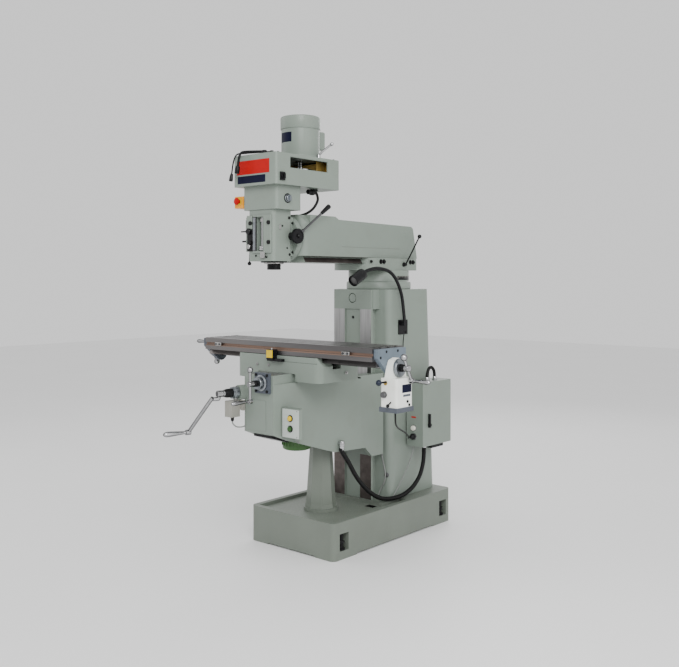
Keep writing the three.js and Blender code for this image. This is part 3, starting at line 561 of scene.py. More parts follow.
def column_ways():
    """The faces of the two ways, darker low down, and the plugs beside them."""
    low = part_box("column_casting")[0]
    for sx in (-1, 1):
        a, b = sorted((sx * 61 * MM, sx * 145 * MM))
        for place, bottom, top, look in (("low", low.z + 2 * MM, 0.9, WAY_SHADE_AND_OIL),
                                         ("high", 0.9, 1.334, WAY_STEEL)):
            block(f"way_{place}_{sx + 2}", Vector((a, low.y - 0.25 * MM, bottom)),
                  Vector((b, low.y + 0.1 * MM, top)), look, FIXED, 0.05, 1)
    turned("column_plug", mm(196, 62.6, 347), Vector((0.35, -0.935, 0)),
           [(15, -4), (15, 2), (11, 3), (4, 3.4)], DULL_STEEL, FIXED, 28)
    turned("way_plug", mm(-1, -13.2, 1284), -Y, [(9, 0), (9, 1), (5, 2.4)], BLACK_OXIDE, FIXED, 24)


BAND_BOTTOM = 56
BAND_HEIGHT = 24
BAND_START = -15
BAND_SWEEP = 105


def neck():
    low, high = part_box("turret_neck")
    centre = Vector((0, middle("turret_neck").y, low.z))
    tall = (high.z - low.z) / MM
    rows = [(196, 0), (200, 3), (200, 38), (197, 44), (190, 47), (188, 50), (188, tall - 4), (186, tall)]
    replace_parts(turned("turret_ring", centre, Z, rows, PAINT, FIXED, 96), "turret_neck")
    degree_band(centre + Z * BAND_BOTTOM * MM)
    degree_marks(centre + Z * BAND_BOTTOM * MM)


def degree_band(base, steps=24):
    """A black strip bent round the neck."""
    corners = ((188.2, 0), (189.4, 0), (189.4, BAND_HEIGHT), (188.2, BAND_HEIGHT))
    bm = bmesh.new()
    rings = []
    for k in range(steps + 1):
        a = math.radians(BAND_START + BAND_SWEEP * k / steps)
        out = Vector((math.cos(a), math.sin(a), 0))
        rings.append([bm.verts.new(base + out * r * MM + Z * h * MM) for r, h in corners])
    for a, b in zip(rings, rings[1:]):
        bridge(bm, a, b)
    finish_piece("degree_band", bm, BLACK, FIXED)


def degree_marks(base):
    bm = bmesh.new()
    for k in range(25):
        a = math.radians(BAND_START + 2 + 4 * k)
        out = Vector((math.cos(a), math.sin(a), 0))
        side = Vector((-out.y, out.x, 0)) * 0.5 * MM
        tick = 8 if k % 5 else 15
        p = base + out * 189.6 * MM + Z * (BAND_HEIGHT - tick) * MM
        top = Z * (tick - 1) * MM
        add_prism(bm, [p - side, p + side, p + side + top, p - side + top], out * 0.2 * MM)
    finish_piece("degree_marks", bm, WHITE, FIXED)


leveling_bolts()
tray_drain()
pedestal_foot()
column_ways()
neck()


# ---------- turret and ram ----------
def saddle_half_width(y):
    """Half the width of the turret saddle at y millimetres. Its front end is rounded."""
    if y >= 50:
        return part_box("turret_saddle")[1].x
    return (110 + 60 * math.sin(math.acos((50 - y) / 110))) * MM


def saddle_bolts():
    for sx in (-1, 1):
        for k, (y, size) in enumerate(((-29, 6.3), (42, 9.9), (70, 9.9), (335, 9.9), (363, 9.9))):
            x = sx * (saddle_half_width(y) - 1 * MM)
            hex_bolt(f"gib_bolt_{sx + 2}_{k}", Vector((x, y * MM, 1.618)), X * sx, "turret", size, 9,
                     BLACK_OXIDE)


def ram_faces():
    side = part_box("ram_casting")[1].x
    block("ram_scale", Vector((side - 0.2 * MM, -0.273, 1.698)), Vector((side + 0.6 * MM, 0.275, 1.7005)),
          PAINT_LOW, "ram", 0.2, 1)
    bm = bmesh.new()
    # Painted shade: the ways and dovetail flanks under the ram are dark way steel.
    for sx in (-1, 1):
        a, b = sorted((sx * 92, sx * 134))
        block(f"ram_way_{sx + 2}", mm(a, -550, 1640.5), mm(b, 420, 1642), WAY_SHADE_AND_OIL, "ram", 0.3, 1)
        low, top = mm(sx * 112.4, -552, 1606.4), mm(sx * 91, -552, 1641)
        skin = X * -sx * 1.2 * MM
        add_prism(bm, [low, top, top + skin, low + skin], Y * 0.49)
    finish_piece("dovetail_faces", bm, WAY_SHADE_AND_OIL, "ram")


def ram_lock():
    pivot = Vector((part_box("ram_lock_lever")[0].x, 0.265, 1.603))
    tip = Vector((pivot.x + 20 * MM, 0.404, 1.780))
    bm = bmesh.new()
    add_turned(bm, pivot, X, [(13, 0), (13.5, 1), (13.5, 8), (11, 10), (9, 11), (9, 20), (7.5, 22)], 28)
    add_sweep(bm, [pivot + X * 16 * MM, pivot.lerp(tip, 0.5) + X * 9 * MM, tip], 4.6, 16)
    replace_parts(finish_piece("ram_lock_rod", bm, BLACK_OXIDE, "ram_lock_lever"), "ram_lock_lever")
    knob = [(4, -13), (8.5, -10.5), (11.8, -5.5), (13, 0), (11.8, 5.5), (8.5, 10.5), (4, 12.6)]
    turned("ram_lock_knob", tip, tip - pivot, knob, BLACK, "ram_lock_lever", 28)


saddle_bolts()
ram_faces()
ram_lock()

# ---------- head: spindle, pulleys and motor ----------
SPINDLE_Y = middle("spindle").y
MOTOR_Y = middle("motor_pulley").y


def quill():
    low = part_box("quill")[0]
    rows = [(36, 0), (51, 0), (53, 2), (53, 9), (52.2, 9.6), (52.2, 12), (53, 12.6), (53, 250), (52, 252),
            (36, 252)]
    bm = bmesh.new()
    add_tube_ring(bm, Vector((0, SPINDLE_Y, low.z)), Z, rows, 64)
    add_box(bm, Vector((-0.006, -0.782, 1.822)), Vector((0.014, SPINDLE_Y - 0.040, 1.840)))
    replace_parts(finish_piece("quill_sleeve", bm, STEEL, "quill", 0.3), "quill")


def spindle():
    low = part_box("spindle")[0]
    rows = [(22, 0), (35, 0), (37.6, 2.5), (37.6, 12), (36.4, 13), (36.4, 16), (37.6, 17), (37.6, 28),
            (36, 30), (33, 31), (33, 286), (24, 288), (24, 543), (23, 545), (8, 545), (8, 90), (12, 75)]
    nose = hollow_ring("spindle_nose", Vector((0, SPINDLE_Y, low.z)), Z, rows, BLACK_OXIDE, "spindle", 64)
    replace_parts(nose, "spindle")
    for sx in (-1, 1):
        key_low = Vector((sx * 34 * MM - 4 * MM, SPINDLE_Y - 6 * MM, low.z + 3 * MM))
        block(f"drive_key_{sx + 2}", key_low, key_low + mm(8.3, 12, 9), BLACK_OXIDE, "spindle", 0.8)


STEPS_BOTTOM = 2.0285
STEP_PITCH = 26


def pulley_rows(radii, bore, start):
    """Steps with a vee groove each, and a hub from 0 up to the first step."""
    rows = [(bore, 0), (36, 0), (36, start)] if start else [(bore, 0)]
    for k, r in enumerate(radii):
        t = start + STEP_PITCH * k
        rows += [(r - 1, t), (r, t + 1), (r, t + 5), (r - 5, t + 9.5), (r - 5, t + 13), (r, t + 17.5),
                 (r, t + 21), (r - 1, t + 22)]
    return rows + [(bore, start + STEP_PITCH * len(radii))]


def pulleys():
    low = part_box("spindle_pulley")[0]
    rows = pulley_rows((72, 62, 52, 42), 26, (STEPS_BOTTOM - low.z) / MM)
    steps = hollow_ring("spindle_steps", Vector((0, SPINDLE_Y, low.z)), Z, rows, CHROME, "spindle_pulley",
                        72)
    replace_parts(steps, "spindle_pulley")
    low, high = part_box("motor_pulley")
    base = Vector((0, MOTOR_Y, low.z))
    bm = bmesh.new()
    add_tube_ring(bm, base, Z, pulley_rows((42, 52, 62, 72), 13.5, 0), 72)
    add_turned(bm, base, Z, [(14, 0), (14, (high.z - low.z) / MM)], 40)
    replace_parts(finish_piece("motor_steps", bm, CHROME, "motor_pulley"), "motor_pulley")


def belt_path(big=61.4, small=51.4, steps=24):
    """The belt's middle line: an arc round each pulley, joined by the straight runs."""
    z = middle("drive_belt").z
    lean = math.asin((big - small) * MM / (MOTOR_Y - SPINDLE_Y))
    path = []
    for y, r, start, sweep in ((SPINDLE_Y, big, math.pi + lean, math.pi - 2 * lean),
                               (MOTOR_Y, small, -lean, math.pi + 2 * lean)):
        for k in range(steps + 1):
            a = start + sweep * k / steps
            path.append(Vector((0, y, z)) + Vector((math.cos(a), math.sin(a), 0)) * r * MM)
    return path


def belt():
    path = belt_path()
    section = ((-2.2, -3), (2.4, -4.4), (3, -4.4), (3, 4.4), (2.4, 4.4), (-2.2, 3))
    bm = bmesh.new()
    rings = []
    for i, p in enumerate(path):
        ahead = (path[(i + 1) % len(path)] - path[i - 1]).normalized()
        out = Vector((ahead.y, -ahead.x, 0))
        rings.append([bm.verts.new(p + out * a * MM + Z * b * MM) for a, b in section])
    for a, b in zip(rings, rings[1:] + rings[:1]):
        bridge(bm, a, b)
    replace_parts(finish_piece("vee_belt", bm, RUBBER, "head"), "drive_belt")


def motor():
    low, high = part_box("motor")
    base = Vector((0, MOTOR_Y, low.z))
    rows = [(108, 0), (112, 1.5), (112, 12), (110, 14), (108, 18), (107.6, 20), (108, 22), (108, 172)]
    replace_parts(turned("motor_body", base, Z, rows, PAINT, "head", 96), "motor")
    tall = (high.z - low.z) / MM - 8
    cowl = [(107, 170), (112, 171), (113, 173), (113, tall - 12), (112, tall - 6), (108.5, tall - 2.6),
            (102, tall - 0.8), (92, tall - 0.2), (70, tall)]
    turned("fan_cowl", base, Z, cowl, PAINT, "head", 96)
    for k in range(5):
        r = 14 + 13 * k
        rows = [(r - 2.2, -0.6), (r + 2.2, -0.6), (r + 2.2, 0), (r - 2.2, 0)]
        hollow_ring(f"cowl_slot_{k + 1}", base + Z * (tall + 0.05) * MM, Z, rows, RUBBER, "head", 64)
    block("terminal_box", Vector((-0.052, MOTOR_Y + 0.098, 2.250)), Vector((0.052, high.y, 2.354)), PAINT,
          "head", 7, 5)
    for sx in (-1, 1):
        for z in (2260, 2344):
            cap_screw(f"terminal_screw_{sx}_{z}", Vector((sx * 0.036, high.y - 0.6 * MM, z * MM)), Y, "head",
                      3.4, 2.2, STEEL)
    motor_plate(low.z + 94 * MM, low.z + 148 * MM)


def motor_plate(bottom, top, steps=9):
    """A blank plate bent round the motor's front left."""
    bm = bmesh.new()
    for k in range(steps):
        a, b = (math.radians(-124 + 50 * j / steps) for j in (k, k + 1))
        corners = [(a, bottom), (b, bottom), (b, top), (a, top)]
        r = 108.7 * MM
        bm.faces.new([bm.verts.new((r * math.cos(t), MOTOR_Y + r * math.sin(t), z)) for t, z in corners])
    bmesh.ops.remove_doubles(bm, verts=bm.verts, dist=1e-6)
    bmesh.ops.solidify(bm, geom=bm.faces[:], thickness=0.4 * MM)
    finish_piece("motor_plate", bm, NAVY, "head")


quill()
spindle()
pulleys()
belt()
motor()


# ---------- head: belt housing and its levers ----------
def rotary_switch():
    low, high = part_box("motor_switch")
    centre = middle("motor_switch")
    bm = bmesh.new()
    add_box(bm, low, Vector((low.x + 9 * MM, high.y, high.z)))
    add_turned(bm, Vector((low.x + 9 * MM, centre.y, centre.z)), X, [(13, 0), (13, 3), (11.5, 4)], 36)
    add_box(bm, Vector((low.x + 12 * MM, centre.y - 4 * MM, low.z + 8 * MM)),
            Vector((high.x, centre.y + 4 * MM, high.z - 8 * MM)))
    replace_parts(finish_piece("rotary_switch", bm, BLACK, "motor_switch", 0.9), "motor_switch")


def window_lip(sx):
    """A raised edge round the window in one side of the belt housing."""
    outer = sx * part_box("belt_housing")[1].x / MM
    front, back, bottom, top, wide = -728, -428, 2104, 2166, 3
    bm = bmesh.new()
    for y0, y1, z0, z1 in ((front, back, bottom, bottom + wide), (front, back, top - wide, top),
                           (front, front + wide, bottom, top), (back - wide, back, bottom, top)):
        add_box(bm, mm(outer - 7, y0, z0), mm(outer - 1, y1, z1))
    finish_piece(f"window_lip_{sx + 2}", bm, PAINT, "head", 0.8)


def belt_clamp(top):
    clamp = Vector((0.118, -0.452, top))
    bm = bmesh.new()
    add_turned(bm, clamp, Z, [(15, 0), (15, 5), (11, 6), (9, 24), (7, 26)], 28)
    add_sweep(bm, smooth_path([clamp + mm(0, 0, 18), clamp + mm(20, 12, 44), clamp + mm(58, 36, 78)], 6),
              5.4, 14)
    finish_piece("belt_clamp_lever", bm, HANDLE, "head")
    turned("belt_clamp_tip", clamp + mm(56, 35, 76), Vector((40, 25, 36)),
           [(5, 0), (8, 3), (9.5, 10), (7, 18), (2, 21)], HANDLE, "head", 24)


def belt_housing_details():
    low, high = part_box("belt_housing")
    front = low.y - 0.1 * MM
    plate("front_plate", Vector((-0.010, front, 2.1135)), X, Z, -Y, 250, 74, 0.9, RED, "head")
    plate("lower_plate", Vector((-0.022, front, 2.0485)), X, Z, -Y, 214, 40, 0.9, NAVY, "head")
    rotary_switch()
    block("rear_guard", mm(-150, -392, 2030), mm(150, -388, 2168), GOLD, "head", 1)
    for sx in (-1, 1):
        window_lip(sx)
        a, b = sorted((sx * 115, sx * 119))
        block(f"side_guard_{sx + 2}", mm(a, -470, 2030), mm(b, -392, 2168), GOLD, "head", 1)
        for y in (80, 36):
            cap_screw(f"housing_screw_{sx}_{y}", Vector((sx * 0.146, -y / 100, high.z - 0.6 * MM)), Z,
                      "head", 6, 6)
    belt_clamp(high.z)
    block("motor_plate_flange", Vector((-0.128, -0.600, high.z)), Vector((0.128, -0.352, high.z + 0.4 * MM)),
          PAINT, "head", 0.1, 1)


def brake_lever():
    path = [mm(60, -815, 2192), mm(0, -828, 2196), mm(-58, -848, 2197), mm(-74, -860, 2190),
            mm(-80, -868, 2168), mm(-88, -871, 2118)]
    bm = bmesh.new()
    add_sweep(bm, smooth_path(path, 8), 6.6, 16)
    add_turned(bm, mm(60, -815, 2182.6), Z, [(15, 0), (16, 1), (16, 8), (13, 10), (13, 15), (9, 17)], 32)
    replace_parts(finish_piece("brake_rod", bm, BLACK_OXIDE, "brake_lever"), "brake_lever")
    turned("brake_grip", mm(-87, -870.5, 2122), mm(-8, -3, -50),
           [(8, 0), (12, 4), (13.6, 20), (14, 36), (12, 42)], BLACK, "brake_lever", 28)


def range_lever():
    path = [mm(96, -796, 2190), mm(0, -806, 2193), mm(-92, -823, 2194), mm(-122, -846, 2188),
            mm(-131, -862, 2150), mm(-140, -868, 2080)]
    bm = bmesh.new()
    add_sweep(bm, smooth_path(path, 8), 4.0, 14)
    add_turned(bm, mm(96, -796, 2182.2), Z, [(13, 0), (14, 1), (14, 7), (10, 9), (10, 13), (6, 14)], 32)
    finish_piece("range_rod", bm, BLACK_OXIDE, "head")
    turned("range_grip", mm(-139, -868, 2084), mm(-8, -3, -60),
           [(6, 0), (8, 4), (10.5, 26), (11, 38), (8, 42)], BLACK, "head", 28)


def head_cable():
    socket = mm(96, -466, 2014.2)
    bm = bmesh.new()
    add_turned(bm, socket + mm(0, -52, -17), Y,
               [(12, 0), (14, 2), (14, 22), (17, 23), (17, 44), (13, 47), (13, 58)], 36)
    add_box(bm, socket + mm(-14, -14, -12), socket + mm(14, 16, 0.4))
    finish_piece("head_connector", bm, BLACK, "head", 0.8)
    route = [socket + mm(0, 4, -17), socket + mm(0, 22, -24), socket + mm(-4, 34, -58),
             socket + mm(-18, 18, -100),
             mm(56, -478, 1884), mm(44, -534, 1864), mm(44, -580, 1848), mm(44, -598, 1824)]
    lead("head_lead", route, 7.5, RUBBER, "head", 10, 16)
    turned("head_gland", route[-1] + mm(0, 0, -4), Z, [(11, 0), (11, 6), (9, 8), (8, 18), (7, 20)], BLACK,
           "head", 28)


belt_housing_details()
brake_lever()
range_lever()
head_cable()


# ---------- head: quill housing ----------
def head_front():
    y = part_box("head_casting")[0].y
    bm = bmesh.new()
    for low_x, high_x, low_z, high_z in ((31, 88, 1654, 1858), (-50, 32, 1654, 1665), (-50, 32, 1849, 1858)):
        add_box(bm, mm(low_x, -798, low_z), mm(high_x, -788, high_z))
    finish_piece("front_cover", bm, PAINT, "head", 2.0)
    block("front_gib", mm(-50, -798, 1666), mm(-26, -788, 1848), DULL_STEEL, "head", 1.5)
    block("feed_case", mm(-97, -800, 1784), mm(-55, -787, 1858), PAINT, "head", 5, 4)
    block("feed_case_low", mm(-96, -797, 1664), mm(-55, -787, 1780), BLACK_OXIDE, "head", 4, 4)
    turned("feed_reverse_knob", mm(-78, -797, 1772), -Y, [(15, 0), (17, 2), (17, 10), (14, 14)], BLACK,
           "head", 32)
    turned("feed_reverse_pin", mm(-78, -805, 1772), -X, [(4, 0), (4, 52), (3, 54)], BLACK_OXIDE, "head", 20)
    turned("feed_rate_knob", mm(-76, -797, 1690), -Y, [(12, 0), (13, 1), (13, 8), (10, 11)], STEEL, "head",
           32)
    for x in (-64, 76):
        for z in (1711, 1816):
            cap_screw(f"cover_screw_{x + 100}_{z}", Vector((x * MM, y - 8.6 * MM, z * MM)), -Y, "head", 11,
                      10)
    for x, z, r in ((18, 1640, 6), (-30, 1640, 5), (52, 1632, 5)):
        cap_screw(f"collar_screw_{x + 50}", Vector((x * MM, y - 0.2 * MM, z * MM)), -Y, "head", r, 6)
    block("quill_lock_pad", Vector((0.012, y - 14 * MM, 1.626)), Vector((0.044, y + 2 * MM, 1.662)), STEEL,
          "head", 4)
    rows = [(54.5, 0), (70, 0), (72, 2), (72, 7.3), (54.5, 7.3)]
    hollow_ring("quill_seal", Vector((0, SPINDLE_Y, 1.6035)), Z, rows, BLACK_OXIDE, "head", 64)
    depth_stop(y)


def depth_stop(y):
    """The depth scale with its lines, and the stop rod with its nut."""
    plate("depth_scale", Vector((-0.037, y - 9 * MM, 1.757)), X, Z, -Y, 15, 172, 1.2, DIAL_STEEL, "head", 1)
    bm = bmesh.new()
    for k in range(33):
        wide = 6 if k % 4 else 11
        z = 1.676 + 0.005 * k
        add_box(bm, Vector((-0.030 - wide * MM, y - 10.5 * MM, z)),
                Vector((-0.030, y - 10.1 * MM, z + 0.6 * MM)))
    finish_piece("depth_marks", bm, RUBBER, "head")
    stop = Vector((0.004, y + 14 * MM, 0))
    turned("stop_rod", stop + Z * 1.668, Z, [(6, 0), (6, 178)], CHROME, "head", 28)
    rows = [(15, 0), (17, 1.5), (17, 10), (15, 11.5), (15, 13), (17, 14.5), (17, 22), (15, 23.5)]
    turned("stop_nut", stop + Z * 1.6685, Z, rows, CHROME, "head", 40)


def quill_feed():
    hub = Vector((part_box("quill_feed_lever")[0].x, -0.652, 1.746))
    rows = [(22, 0), (22, 37), (30, 38), (39, 38.6), (41, 40.5), (41, 56), (39, 59), (30, 60.5), (29, 58.5),
            (13, 58.5), (12, 60), (12, 66), (9, 69)]
    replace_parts(turned("quill_feed_hub", hub, X, rows, BLACK, "quill_feed_lever", 64), "quill_feed_lever")
    root = hub + X * 47 * MM
    tip = mm(182, -500, 1874)
    along = (tip - root).normalized()
    arm = [(10, 0), (10, 12), (7.5, 16), (6.5, 18), (6.5, (tip - root).length / MM - 34)]
    turned("quill_feed_arm", root + along * 36 * MM, along, arm, DULL_STEEL, "quill_feed_lever", 28)
    turned("quill_feed_grip", tip - along * 2 * MM, Vector((14, 54, 46)),
           [(7, 0), (9.5, 3), (10, 8), (13.5, 64), (12.5, 70), (8, 73)], BLACK, "quill_feed_lever", 32)


def head_fasteners(side=98):
    for k, (y, z, r) in enumerate(((-683, 1682, 4.5), (-664, 1647, 7), (-668, 1845, 8), (-720, 1800, 5))):
        cap_screw(f"side_screw_{k + 1}", mm(side - 0.3, y, z), X, "head", r, 5)
    block("oil_cup", mm(side - 1, -744, 1780), mm(side + 5, -732, 1806), STEEL, "head", 2)
    for k in range(4):
        a = math.radians(45 + 90 * k)
        at = mm(112 * math.cos(a), -626.5, 1739 + 112 * math.sin(a))
        hex_bolt(f"swivel_bolt_{k + 1}", at, -Y, "head", 9, 10, BLACK_OXIDE)


def feed_controls():
    """The trip lever, the fine feed wheel and the two selector knobs at the left of the head."""
    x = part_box("feed_trip_lever")[1].x
    bm = bmesh.new()
    add_turned(bm, Vector((x, -0.738, 1.676)), -X, [(9, 0), (9.5, 1), (9.5, 12), (8, 14)], 28)
    add_sweep(bm, [Vector((x - 8 * MM, -0.738, 1.672)), Vector((x - 8 * MM, -0.742, 1.606))], 3.6, 14)
    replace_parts(finish_piece("trip_rod", bm, BLACK_OXIDE, "feed_trip_lever"), "feed_trip_lever")
    ball = [(3, -10.6), (7, -8.5), (10, -4.6), (11, 0), (10, 4.6), (7, 8.5), (3, 10.4)]
    turned("trip_ball", Vector((x - 8 * MM, -0.742, 1.600)), -Z, ball, BLACK, "feed_trip_lever", 28)
    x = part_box("fine_feed_knob")[1].x
    rows = [(16, 0), (19, 1.5), (19, 14), (17.5, 17), (8, 18), (5, 19), (5, 60), (3.5, 62)]
    wheel = turned("feed_wheel", Vector((x, -0.742, 1.722)), -X, rows, BLACK, "fine_feed_knob", 40)
    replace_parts(wheel, "fine_feed_knob")
    for k, (y, z, r) in enumerate(((-752, 1828, 13), (-722, 1771, 11))):
        turned(f"feed_select_{k + 1}", mm(-127.8, y, z), -X, [(r - 2, 0), (r, 1), (r, 9), (r - 2, 11)],
               BLACK, "head", 32)


def speed_and_stop():
    """The speed range dial on the right and the stop button in its orange box."""
    at = Vector((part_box("speed_range_knob")[0].x, -0.712, 1.947))
    bm = bmesh.new()
    add_turned(bm, at, X, [(21, 0), (21, 3), (18.5, 4), (18.5, 14), (16, 16)], 48)
    add_box(bm, at + mm(14, -3.6, -15.5), at + mm(27, 3.6, 15.5))
    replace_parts(finish_piece("range_dial", bm, DIAL_STEEL, "speed_range_knob", 0.8), "speed_range_knob")
    hollow_ring("range_dial_ring", at + X * 0.2 * MM, X, [(21.4, 0), (26, 0), (26, 1.6), (21.4, 1.6)], BLACK,
                "head")
    at = rear_middle("stop_button")
    rows = [(9, 0), (9, 19), (17, 20), (20, 22), (20, 24.5), (18, 28), (12, 30.2), (5, 31)]
    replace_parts(turned("stop_head", at, -Y, rows, RED, "stop_button"), "stop_button")
    rows = [(11.5, 0), (22, 0), (22, 1.2), (11.5, 1.2)]
    hollow_ring("stop_collar", Vector((at.x, -0.7901, at.z)), -Y, rows, YELLOW, "head")


head_front()
quill_feed()
head_fasteners()
feed_controls()
speed_and_stop()


# ---------- cranks, dials and grips ----------
def dial_marks(name, base, axis, radius, length, body, count=50):
    """Engraved lines round a dial, every fifth one longer."""
    bm = bmesh.new()
    axis = axis.normalized()
    u, v = basis(axis)
    for k in range(count):
        a = math.tau * k / count
        out = u * math.cos(a) + v * math.sin(a)
        side = axis.cross(out) * 0.28 * MM
        tall = axis * length * (0.62 if k % 5 else 1.0) * MM
        p = base + out * (radius - 0.2) * MM
        add_prism(bm, [p - side, p + side, p + side + tall, p - side + tall], out * 0.35 * MM)
    finish_piece(name, bm, RUBBER, body)


GRIP_SHAPE = [(0.62, 0), (0.66, 0.04), (0.55, 0.07), (0.6, 0.12), (0.72, 0.3), (0.92, 0.6), (1, 0.78),
              (0.95, 0.88), (0.72, 0.96), (0.4, 1)]


def grip(name, node, start, axis, length, thick):
    """A handle that spins on its crank, on the body of the same name as its node."""
    rows = [(thick * r, length * t) for r, t in GRIP_SHAPE]
    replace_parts(turned(name, start, axis, rows, HANDLE, node, 36), node)


LEAN = math.radians(14.3)
CRANK_AXIS = Vector((-math.sin(LEAN), -math.cos(LEAN), 0))
CRANK_SIDE = Vector((-math.cos(LEAN), math.sin(LEAN), 0))
CRANK_START = mm(0, -303, 898)


def on_shaft(along, side=0, drop=0):
    """A point by the elevating crank's leaning shaft."""
    return CRANK_START + CRANK_AXIS * along * MM + CRANK_SIDE * side * MM - Z * drop * MM


def elevating_crank():
    body = "elevating_crank"
    bend = [on_shaft(655, 0, 4), on_shaft(655, 7, 26), on_shaft(664, 9, 28), on_shaft(690, 12, 28),
            on_shaft(697, 20, 36), on_shaft(743, 194, 224)]
    clutch = [(17, 0), (18, 1), (18, 9), (15.5, 10), (15.5, 13), (18, 14), (18, 41), (16, 43)]
    bm = bmesh.new()
    add_turned(bm, on_shaft(26), CRANK_AXIS, [(12, 0), (17, 15), (11, 15.5), (11, 520)], 36)
    add_turned(bm, on_shaft(625), CRANK_AXIS, clutch, 40)
    add_sweep(bm, smooth_path(bend, 8), 10.5, 20)
    add_turned(bm, on_shaft(730, 195, 225), CRANK_AXIS, [(13, 0), (15, 2), (15, 28), (13, 30)], 32)
    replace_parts(finish_piece("elevating_handle", bm, HANDLE, body), "elevating_crank")
    dial = [(31, 0), (33, 1.5), (33, 22), (31.5, 24), (31.5, 36.5)]
    turned("elevating_dial", on_shaft(545), CRANK_AXIS, dial, DIAL_STEEL, body, 72)
    dial_marks("elevating_marks", on_shaft(549), CRANK_AXIS, 33, 12, body)
    turned("elevating_hub", on_shaft(581), CRANK_AXIS, [(24, 0), (25, 1), (24, 30), (20, 44)], BLACK_OXIDE,
           body, 40)
    grip("elevating_grip", "elevating_crank_grip", on_shaft(760.4, 195, 225), CRANK_AXIS, 130, 15)


CROSS_X = 40
CROSS_Z = 962


def on_cross(y, rise=0):
    """A point on the cross screw's axis, or above it."""
    return mm(CROSS_X, y, CROSS_Z + rise)


def cross_crank():
    body = "cross_screw"
    bm = bmesh.new()
    add_turned(bm, on_cross(-140), -Y, [(10, 0), (11, 1), (11, 765)], 36)
    add_turned(bm, on_cross(-879), -Y, [(13, 0), (14.5, 2), (14.5, 32), (12, 35)], 36)
    add_sweep(bm, [on_cross(-900, 70), on_cross(-900, -88)], lambda s: 7.4 + 0.4 * math.cos(s * 40), 20)
    add_turned(bm, on_cross(-889, -90), -Y, [(11, 0), (13, 1.5), (13, 21), (11, 23)], 32)
    add_turned(bm, on_cross(-900, 76), Z, ball_rows([(4, -15.6), (10, -12.4), (14.4, -7)], 16), 32)
    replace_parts(finish_piece("cross_handle", bm, HANDLE, body), "cross_screw")
    dial = [(30, 0), (32, 1.5), (32, 18), (30.5, 20), (30.5, 24)]
    turned("cross_dial", on_cross(-832), -Y, dial, DIAL_STEEL, body, 72)
    dial_marks("cross_marks", on_cross(-835), -Y, 32, 11, body)
    turned("cross_collar", on_cross(-856), -Y, [(17, 0), (17.5, 1), (17.5, 20), (15, 24)], BLACK_OXIDE, body,
           40)
    grip("cross_grip", "cross_crank_grip", on_cross(-912.4, -90), -Y, 118, 12)


TILT = math.radians(30)
SCREW_Y = -534
SCREW_Z = 1068


def on_crank(x, radius):
    """A point on the table cranks' arms, or on the table screw's axis for radius 0."""
    return mm(x, SCREW_Y + math.sin(TILT) * radius, SCREW_Z - math.cos(TILT) * radius)


def table_handles():
    ball = ball_rows([(5, -17.5), (11.3, -14), (16.3, -7.7)], 18)
    bm = bmesh.new()
    add_turned(bm, on_crank(-688, 0), X, [(11, 0), (12.5, 1), (12.5, 1493), (11, 1494)], 36)
    for x, side in ((793, 1), (-676, -1)):
        add_turned(bm, on_crank(x - 14, 0), X, [(15, 0), (17, 2), (17, 26), (15, 28)], 36)
        arm = [on_crank(x + 3 * side, -60 * side), on_crank(x, 0), on_crank(x, 70 * side)]
        add_sweep(bm, arm, lambda s: 8.6 - 1.2 * math.sin(s * 24), 20)
        add_turned(bm, on_crank(x - 11, 76 * side), X, [(11, 0), (13, 1.5), (13, 20.5), (11, 22)], 32)
        add_turned(bm, on_crank(x + 4 * side, -66 * side), on_crank(0, -1) - on_crank(0, 0), ball, 36)
    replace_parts(finish_piece("table_handles", bm, HANDLE, "table_screw"), "table_screw")


def table_dials():
    body = "table_screw"
    for name, x, axis, r, length, look in (("right", 738.4, X, 47, 17.6, DIAL_STEEL),
                                           ("left", -632, -X, 33, 20, DULL_STEEL)):
        base = on_crank(x, 0)
        rows = [(r - 2, 0), (r, 1.5), (r, length - 5), (r - 6, length - 1), (r - 7, length)]
        turned(f"{name}_dial", base, axis, rows, look, body, 72)
        dial_marks(f"{name}_marks", base + axis * 2 * MM, axis, r, 9, body)
    turned("right_lock_nut", on_crank(756, 0), X, [(19, 0), (20, 1), (20, 12), (17, 18)], BLACK_OXIDE, body,
           40)
    turned("right_cap", on_crank(806.2, 0), X, [(11, -1), (13, -0.5), (13, 0.5), (9, 2)], CHROME, body, 32)


elevating_crank()
cross_crank()
table_handles()
table_dials()
grip("right_grip", "right_crank_grip", on_crank(804.4, 76), X, 100, 12)
grip("left_grip", "left_crank_grip", on_crank(-687.4, -76), -X, 92, 12)


# ---------- table, saddle and power feed ----------
def table_details():
    low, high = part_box("table")
    front = low.y
    for name, inset, y0, y1, z0, z1 in (("face", 2, 8, 9.2, 1.1285, 1.1415),
                                        ("lip", 1, -0.2, 0.4, 1.1225, 1.1275)):
        block(f"groove_{name}", Vector((low.x + inset * MM, front + y0 * MM, z0)),
              Vector((high.x - inset * MM, front + y1 * MM, z1)), RUST_OIL, "table", 0.2, 1)
    for k, x in enumerate((-480, 500), 1):
        corner = Vector(((x - 27) * MM, front - 11 * MM, 1.125))
        block(f"stop_dog_{k}", corner, corner + mm(54, 11.5, 20), STEEL, "table", 5, 4)
        for sx in (-1, 1):
            at = Vector(((x + sx * 15) * MM, front - 10.6 * MM, 1.135))
            hex_bolt(f"dog_bolt_{k}_{sx + 2}", at, -Y, "table", 4.5, 6, DULL_STEEL)
    for node, out, side in (("right_end_bracket", X, 1), ("left_end_bracket", -X, 0)):
        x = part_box(node)[side].x - out.x * 0.4 * MM
        for k, (y, z) in enumerate(((-0.581, 1.149), (-0.487, 1.149), (-0.628, 1.121), (-0.440, 1.121))):
            cap_screw(f"{node}_screw_{k + 1}", Vector((x, y, z)), out, "table", 7, 2.2)


